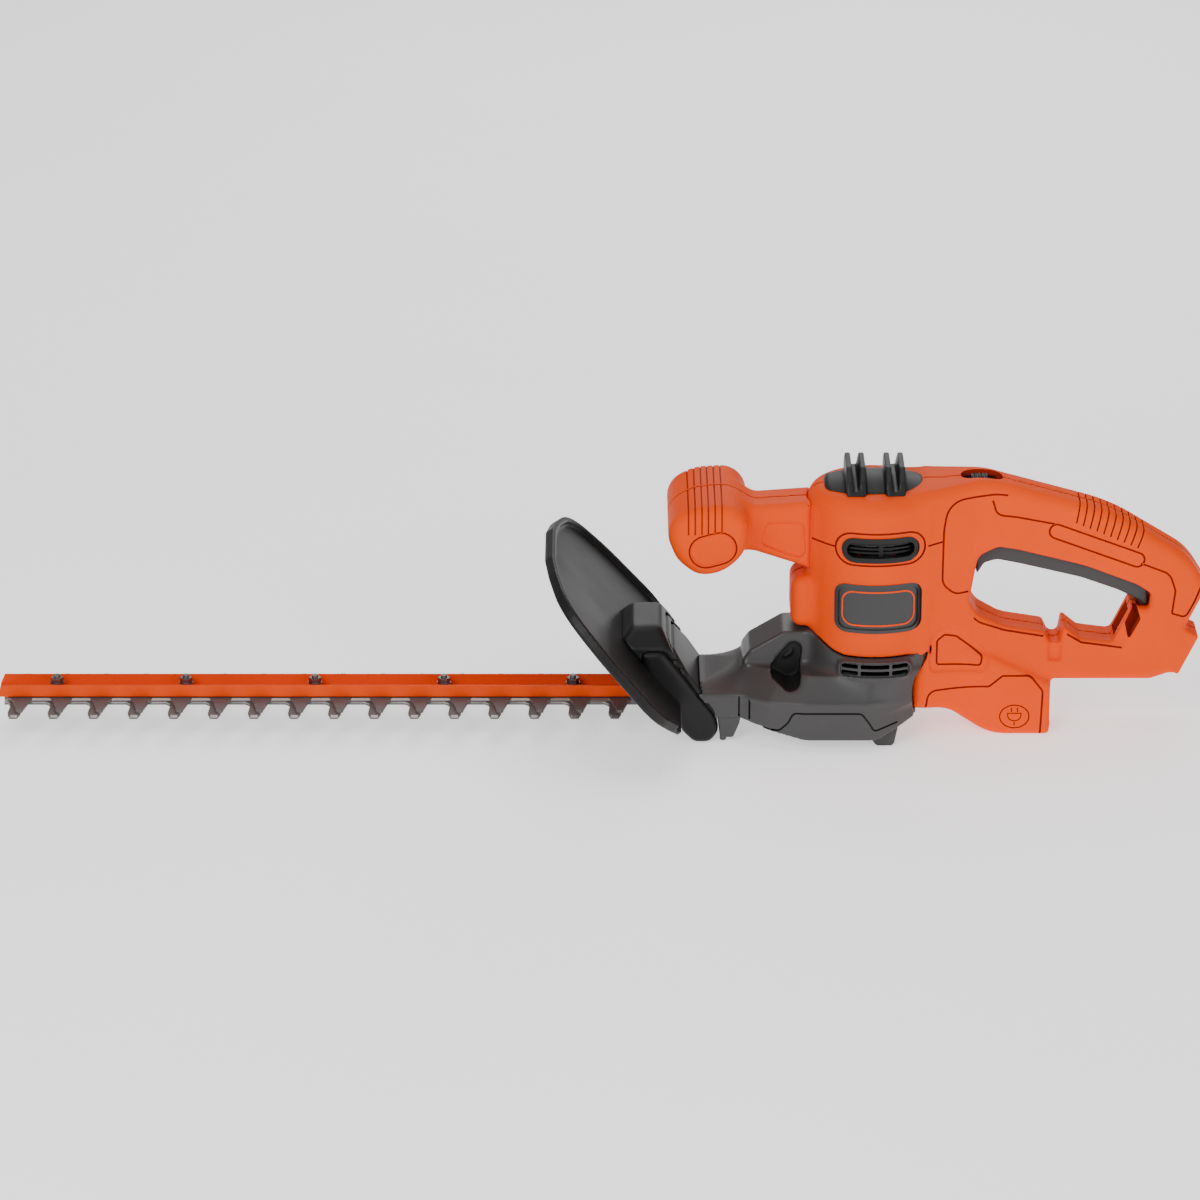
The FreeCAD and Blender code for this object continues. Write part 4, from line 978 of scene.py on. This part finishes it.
def build_cap(materials):
    grid = Grid((136.0, -38.0, 145.0), (211.0, 38.0, 181.0), CELL * 0.8)
    plan = [(CAP_CENTRE_X + x, y, radius) for x, y, radius in CAP_HALF_PLAN]
    top = 170.0 - 0.0105 * grid.y ** 2 - 0.0042 * (grid.x - CAP_CENTRE_X) ** 2
    shape = pushed(grid.plan(both_sides(plan)), grid.z - top, 3.5)
    arch = grid.front(HOOP_ARCH)
    slot = grid.front(HOOP_SLOT)
    for offset in HOOP_OFFSETS:
        across = np.abs(grid.x - CAP_CENTRE_X - offset)
        footprint = np.hypot(np.maximum(np.abs(grid.y) - 26.3, 0), across) - HOOP_HALF
        shape = blended(shape, pushed(arch, footprint, 0.8), 2.0)
    for offset in HOOP_OFFSETS:
        across = np.abs(grid.x - CAP_CENTRE_X - offset)
        taper = 1.6 + 0.9 * np.clip((grid.z - 165.0) / 11.0, 0, 1)
        shape = carved(shape, pushed(slot, across - taper, 0.4), 0.8)
    shape = np.maximum(shape, -drum_distance(grid) + 0.1)
    shape = np.maximum(shape, 150.0 - grid.z)
    mesh = mesh_of_field("cap", grid, shape)
    piece("top_cap_hoops", mesh, materials["trim"], "body", "top_cap")


def bent_panel(corners, hole, inner, outer, side):
    """Panel that follows the drum's round side between two radii."""
    place = on_side(side)
    mesh = prism(closed_points(corners), place, 15.0, 60.0)
    mesh = boolean(mesh, round_room(MOTOR_X, outer, 60.0, 170.0, 160), "INTERSECT")
    mesh = boolean(mesh, round_room(MOTOR_X, inner, 60.0, 170.0, 160))
    if hole:
        mesh = boolean(mesh, prism(closed_points(hole), place, 15.0, 60.0))
    return mesh


def panel_corners(node, inset, share):
    """Outline of a side panel's node, drawn in by inset and rounded by a share of its height."""
    low, high = node_box(node)
    radius = (high[2] - low[2]) * share - inset
    return rectangle((low[0] + inset, high[0] - inset), (low[2] + inset, high[2] - inset), radius)


def bevelled(made, width):
    modifier = made.modifiers.new("soft_edge", "BEVEL")
    modifier.width = width * MM
    modifier.segments = 2
    modifier.limit_method = "ANGLE"
    modifier.angle_limit = math.radians(40)
    return made


def build_side_panels(materials):
    for side, hand in ((-1, "left"), (1, "right")):
        bezel = "vent_bezel_" + hand
        mesh = bent_panel(panel_corners(bezel, 0.0, VENT_ROUNDING), panel_corners(bezel, 3.2, VENT_ROUNDING),
                          DRUM_RADIUS - 3.0, DRUM_RADIUS + 0.9, side)
        bevelled(piece(bezel + "_ring", mesh, materials["trim"], "body", bezel), 0.5)
        badge = "badge_" + hand
        rim = panel_corners(badge, 0.0, BADGE_ROUNDING)
        mesh = bent_panel(rim, panel_corners(badge, 2.2, BADGE_ROUNDING),
                          DRUM_RADIUS - 2.5, DRUM_RADIUS + 0.6, side)
        bevelled(piece(badge + "_frame", mesh, materials["badge"], "body", None), 0.5)
        mesh = bent_panel(panel_corners(badge, 2.1, BADGE_ROUNDING), None,
                          DRUM_RADIUS - 2.5, DRUM_RADIUS - 0.5, side)
        bevelled(piece(badge + "_plate", mesh, materials["badge"], "body", badge), 0.3)
        mesh = bent_panel(panel_corners(badge, 4.4, 0.36), panel_corners(badge, 5.4, 0.36),
                          DRUM_RADIUS - 1.5, DRUM_RADIUS - 0.2, side)
        piece(badge + "_border", mesh, materials["orange"], "body", None)


# ---------------------------------------------------------------- trigger and lock-off button
def build_trigger(materials):
    grid = Grid((232.0, -12.0, 79.0), (351.0, 12.0, 140.0), CELL * 0.8)
    shape = pushed(grid.side(TRIGGER_OUTLINE), np.abs(grid.y) - 9.0, 2.2)
    hollow = pushed(grid.side([(262, 116, 2), (304, 106, 4), (330, 97, 2), (330, 112, 0), (262, 140, 0)]),
                    np.abs(grid.y) - 6.8, 0.3)
    rib = np.maximum(np.abs(grid.x - 288.0) - 5.0, 108.0 - grid.z)
    shape = np.maximum(shape, -np.maximum(hollow, -rib))
    mesh = mesh_of_field("trigger", grid, shape)
    pivot = prism(oval(*TRIGGER_PIVOT, 2.05, 2.05, 32), on_side(1), -12.0, 12.0)
    mesh = boolean(mesh, pivot)
    piece("trigger_lever", mesh, materials["trigger"], "trigger", "trigger")


def build_lock_off(materials):
    low, high = node_box("lock_off_button")
    high[2] -= 1.5
    grid = Grid(low - 2.0, high + 2.0, 0.5)
    cap = pushed(np.maximum(np.abs(grid.x - 239.0) - 5.5, 160.0 - grid.z),
                 np.maximum(np.abs(grid.y) - 6.4, grid.z - high[2] + 0.05 * grid.y ** 2), 1.0)
    for x in (235.6, 237.9, 240.2, 242.5):
        rib = np.maximum(np.abs(grid.x - x) - 0.45, high[2] - 1.4 - grid.z)
        cap = np.maximum(cap, -rib)
    flange = pushed(np.maximum(np.abs(grid.x - 238.5) - 10.5, np.abs(grid.z - low[2] - 2.0) - 2.0),
                    np.abs(grid.y) - 9.5, 0.6)
    mesh = mesh_of_field("button", grid, np.minimum(cap, flange))
    piece("lock_off_slider", mesh, materials["trim"], "lock_off_button", "lock_off_button")


# ---------------------------------------------------------------- blades
TOOTH_PITCH = 25.4
TOOTH_COUNT = 17
FIRST_LOWER_TOOTH_X = -371.6
FIRST_UPPER_TOOTH_X = -368.4
SPINE_HALF = 13.2
FACET_DROP = 0.9
LOWER_TOOTH = [(6.4, 13.2, 1.5), (3.8, 16.5, 1.5), (3.6, 22.0, 4.0), (4.2, 31.0, 4.0), (2.4, 38.6, 1.0)]
LOWER_TOOTH_TOP = [(7.0, 12.4, 1.5), (3.6, 16.3, 1.5), (3.4, 22.0, 4.0), (4.0, 30.9, 4.0), (2.2, 36.4, 1.0)]
UPPER_TOOTH = [(6.2, 13.2, 1.0), (5.0, 17.0, 2.0), (4.2, 21.0, 3.0), (2.6, 28.5, 3.0), (2.2, 33.3, 1.4)]
UPPER_TOOTH_TOP = [(7.2, 11.6, 1.0), (4.8, 16.8, 2.0), (4.0, 20.9, 3.0), (2.4, 28.4, 3.0), (2.0, 32.9, 1.3)]
# The ground facet shows between the teeth and at the tips of the lower ones
GROUND_BELOW = 16.0
GROUND_ABOVE = 35.5


def blade_points(first_x, spine_half, tooth):
    half = [(-380.0, 6.0, 2.0), (-376.0, spine_half, 2.0)]
    for index in range(TOOTH_COUNT):
        centre = first_x + TOOTH_PITCH * index
        half += [(centre - x, y, radius) for x, y, radius in tooth]
        half += [(centre + x, y, radius) for x, y, radius in reversed(tooth)]
    half += [(98.0, spine_half, 3.0), (104.0, 23.0, 3.0), (169.0, 23.0, 3.0)]
    return closed_points(both_sides(half), 4)


def blade_mesh(first_x, tooth, tooth_top, z_low, z_high, bevel):
    """Plate with a ground facet round the upper edge of its outline."""
    wide = blade_points(first_x, SPINE_HALF, tooth)
    narrow = blade_points(first_x, SPINE_HALF - (tooth[0][1] - tooth_top[0][1]), tooth_top)
    count = len(wide)
    vertices = [(x, y, z_low) for x, y in wide] + [(x, y, z_high - bevel) for x, y in wide]
    vertices += [(x, y, z_high) for x, y in narrow]
    faces = [list(range(count))[::-1], list(range(2 * count, 3 * count))]
    for ring in (0, count):
        faces += [[i + ring, (i + 1) % count + ring, (i + 1) % count + ring + count, i + ring + count]
                  for i in range(count)]
    return solid_mesh(vertices, faces)


def build_blades(materials):
    bolts = bolt_centres()
    specs = (("lower_blade", LOWER_TOOTH, LOWER_TOOTH_TOP, FIRST_LOWER_TOOTH_X),
             ("upper_blade", UPPER_TOOTH, UPPER_TOOTH_TOP, FIRST_UPPER_TOOTH_X))
    for name, tooth, top, first_x in specs:
        low, high = node_box(name)
        mesh = blade_mesh(first_x, tooth, top, low[2], high[2], FACET_DROP)
        tools = [rounded_box((110.5, 161.5), (-17.4, 17.4), (10, 30), 2.0)]
        tools += [rounded_box((x - 12.05, x + 12.05), (-3.8, 3.8), (10, 30), 3.7) for x in bolts]
        mesh = boolean(mesh, merged(tools))
        made = piece(name + "_plate", mesh, materials["blade"], name, name, 20)
        made.data.materials.append(materials["ground"])
        for face in made.data.polygons:
            reach = abs(face.center.y) / MM
            if 0.1 < face.normal.z < 0.97 and not GROUND_BELOW < reach < GROUND_ABOVE:
                face.material_index = 1


def bolt_centres():
    """Centres of the blade bolts, from the one node that holds them all."""
    low, high = node_box("blade_bolts")
    first, last = low[0] + 4.2, high[0] - 4.2
    return np.linspace(first, last, 6)


# ---------------------------------------------------------------- CAD nodes that stay
NODE_MATERIALS = {
    "bottom_cover": "gearcase", "blade_bar": "bar", "blade_bolts": "hardware", "bolt_sleeves": "steel",
    "bolt_spacers": "steel", "flange_nuts": "hardware", "gearcase_screws": "hardware",
    "guard_screws": "hardware", "housing_screws": "hardware", "front_handle_screws": "hardware",
    "vent_grille_left": "black", "vent_grille_right": "black", "trigger_pin": "steel",
    "trigger_spring": "steel", "switch_module": "black", "switch_plunger": "black",
    "rectifier_board": "green", "inlet_insert": "black", "inlet_pins": "brass", "motor_can": "steel",
    "magnets": "magnet", "armature": "steel", "windings": "copper", "commutator": "copper",
    "motor_shaft": "steel", "fan": "black", "pinion": "steel", "brush_carrier": "black",
    "brushes": "carbon", "lower_bearing": "steel", "upper_bearing": "steel", "drive_gear": "steel",
    "cams": "steel", "gear_pin": "steel",
}


def dress_nodes(materials):
    for name, key in NODE_MATERIALS.items():
        node = frame["nodes"][name]
        node.data.materials.clear()
        node.data.materials.append(materials[key])


# ---------------------------------------------------------------- stage
def build_floor():
    mesh = bpy.data.meshes.new("floor")
    made = bmesh.new()
    bmesh.ops.create_grid(made, x_segments=4, y_segments=4, size=6.0)
    made.to_mesh(mesh)
    made.free()
    floor = new_object("studio_floor", mesh)
    floor.location.z = cad_box[0][2]
    material, nodes, links, shader = new_material("floor_paper")
    where = nodes.new("ShaderNodeTexCoord")
    speck = noise(nodes, links, 3.0, 2.0, where)
    ramp = tinted(nodes, links, speck, (0.93, 0.93, 0.93), (0.96, 0.96, 0.96))
    links.new(ramp.outputs["Color"], shader.inputs["Base Color"])
    shader.inputs["Roughness"].default_value = 0.9
    shader.inputs["Emission Color"].default_value = (1, 1, 1, 1)
    shader.inputs["Emission Strength"].default_value = 0.75
    floor.data.materials.append(material)


def add_light(name, location, target, size, power, size_y=None):
    data = bpy.data.lights.new(name, "AREA")
    data.energy = power
    data.size = size
    if size_y:
        data.shape = "RECTANGLE"
        data.size_y = size_y
    light = bpy.data.objects.new(name, data)
    bpy.context.scene.collection.objects.link(light)
    light.location = location
    light.rotation_euler = (Vector(target) - Vector(location)).to_track_quat("-Z", "Y").to_euler()


def build_lights():
    centre = (0.1, 0.0, 0.08)
    add_light("key", (-0.9, -2.0, 1.5), centre, 1.4, 38, 1.0)
    add_light("fill", (1.6, -1.8, 0.7), centre, 1.4, 16)
    add_light("top", (0.1, 0.2, 2.2), centre, 1.8, 18)
    add_light("back", (0.3, 1.9, 1.3), centre, 1.4, 14)
    world = bpy.data.worlds.new("studio")
    bpy.context.scene.world = world
    world.use_nodes = True
    background = world.node_tree.nodes["Background"]
    background.inputs["Color"].default_value = (1, 1, 1, 1)
    background.inputs["Strength"].default_value = 0.30


CAMERA_ELEVATION = 20.0
CAMERA_DISTANCE = 3.8
CAMERA_TARGET = (0.0, 0.0269, 0.074)


def build_camera():
    data = bpy.data.cameras.new("camera")
    data.lens = 178.1
    data.sensor_width = 36.0
    camera = bpy.data.objects.new("camera", data)
    bpy.context.scene.collection.objects.link(camera)
    tilt = math.radians(CAMERA_ELEVATION)
    camera.location = (CAMERA_TARGET[0], CAMERA_TARGET[1] - CAMERA_DISTANCE * math.cos(tilt),
                       CAMERA_TARGET[2] + CAMERA_DISTANCE * math.sin(tilt))
    camera.rotation_euler = (math.radians(90.0 - CAMERA_ELEVATION), 0.0, 0.0)
    bpy.context.scene.camera = camera


def write_sizes():
    import json


materials = make_materials()
build_housing(materials)
build_front_handle(materials)
build_gearcase(materials)
build_bracket(materials)
build_guard(materials)
build_cap(materials)
build_side_panels(materials)
build_trigger(materials)
build_lock_off(materials)
build_blades(materials)
dress_nodes(materials)
build_floor()
build_lights()
build_camera()
write_sizes()
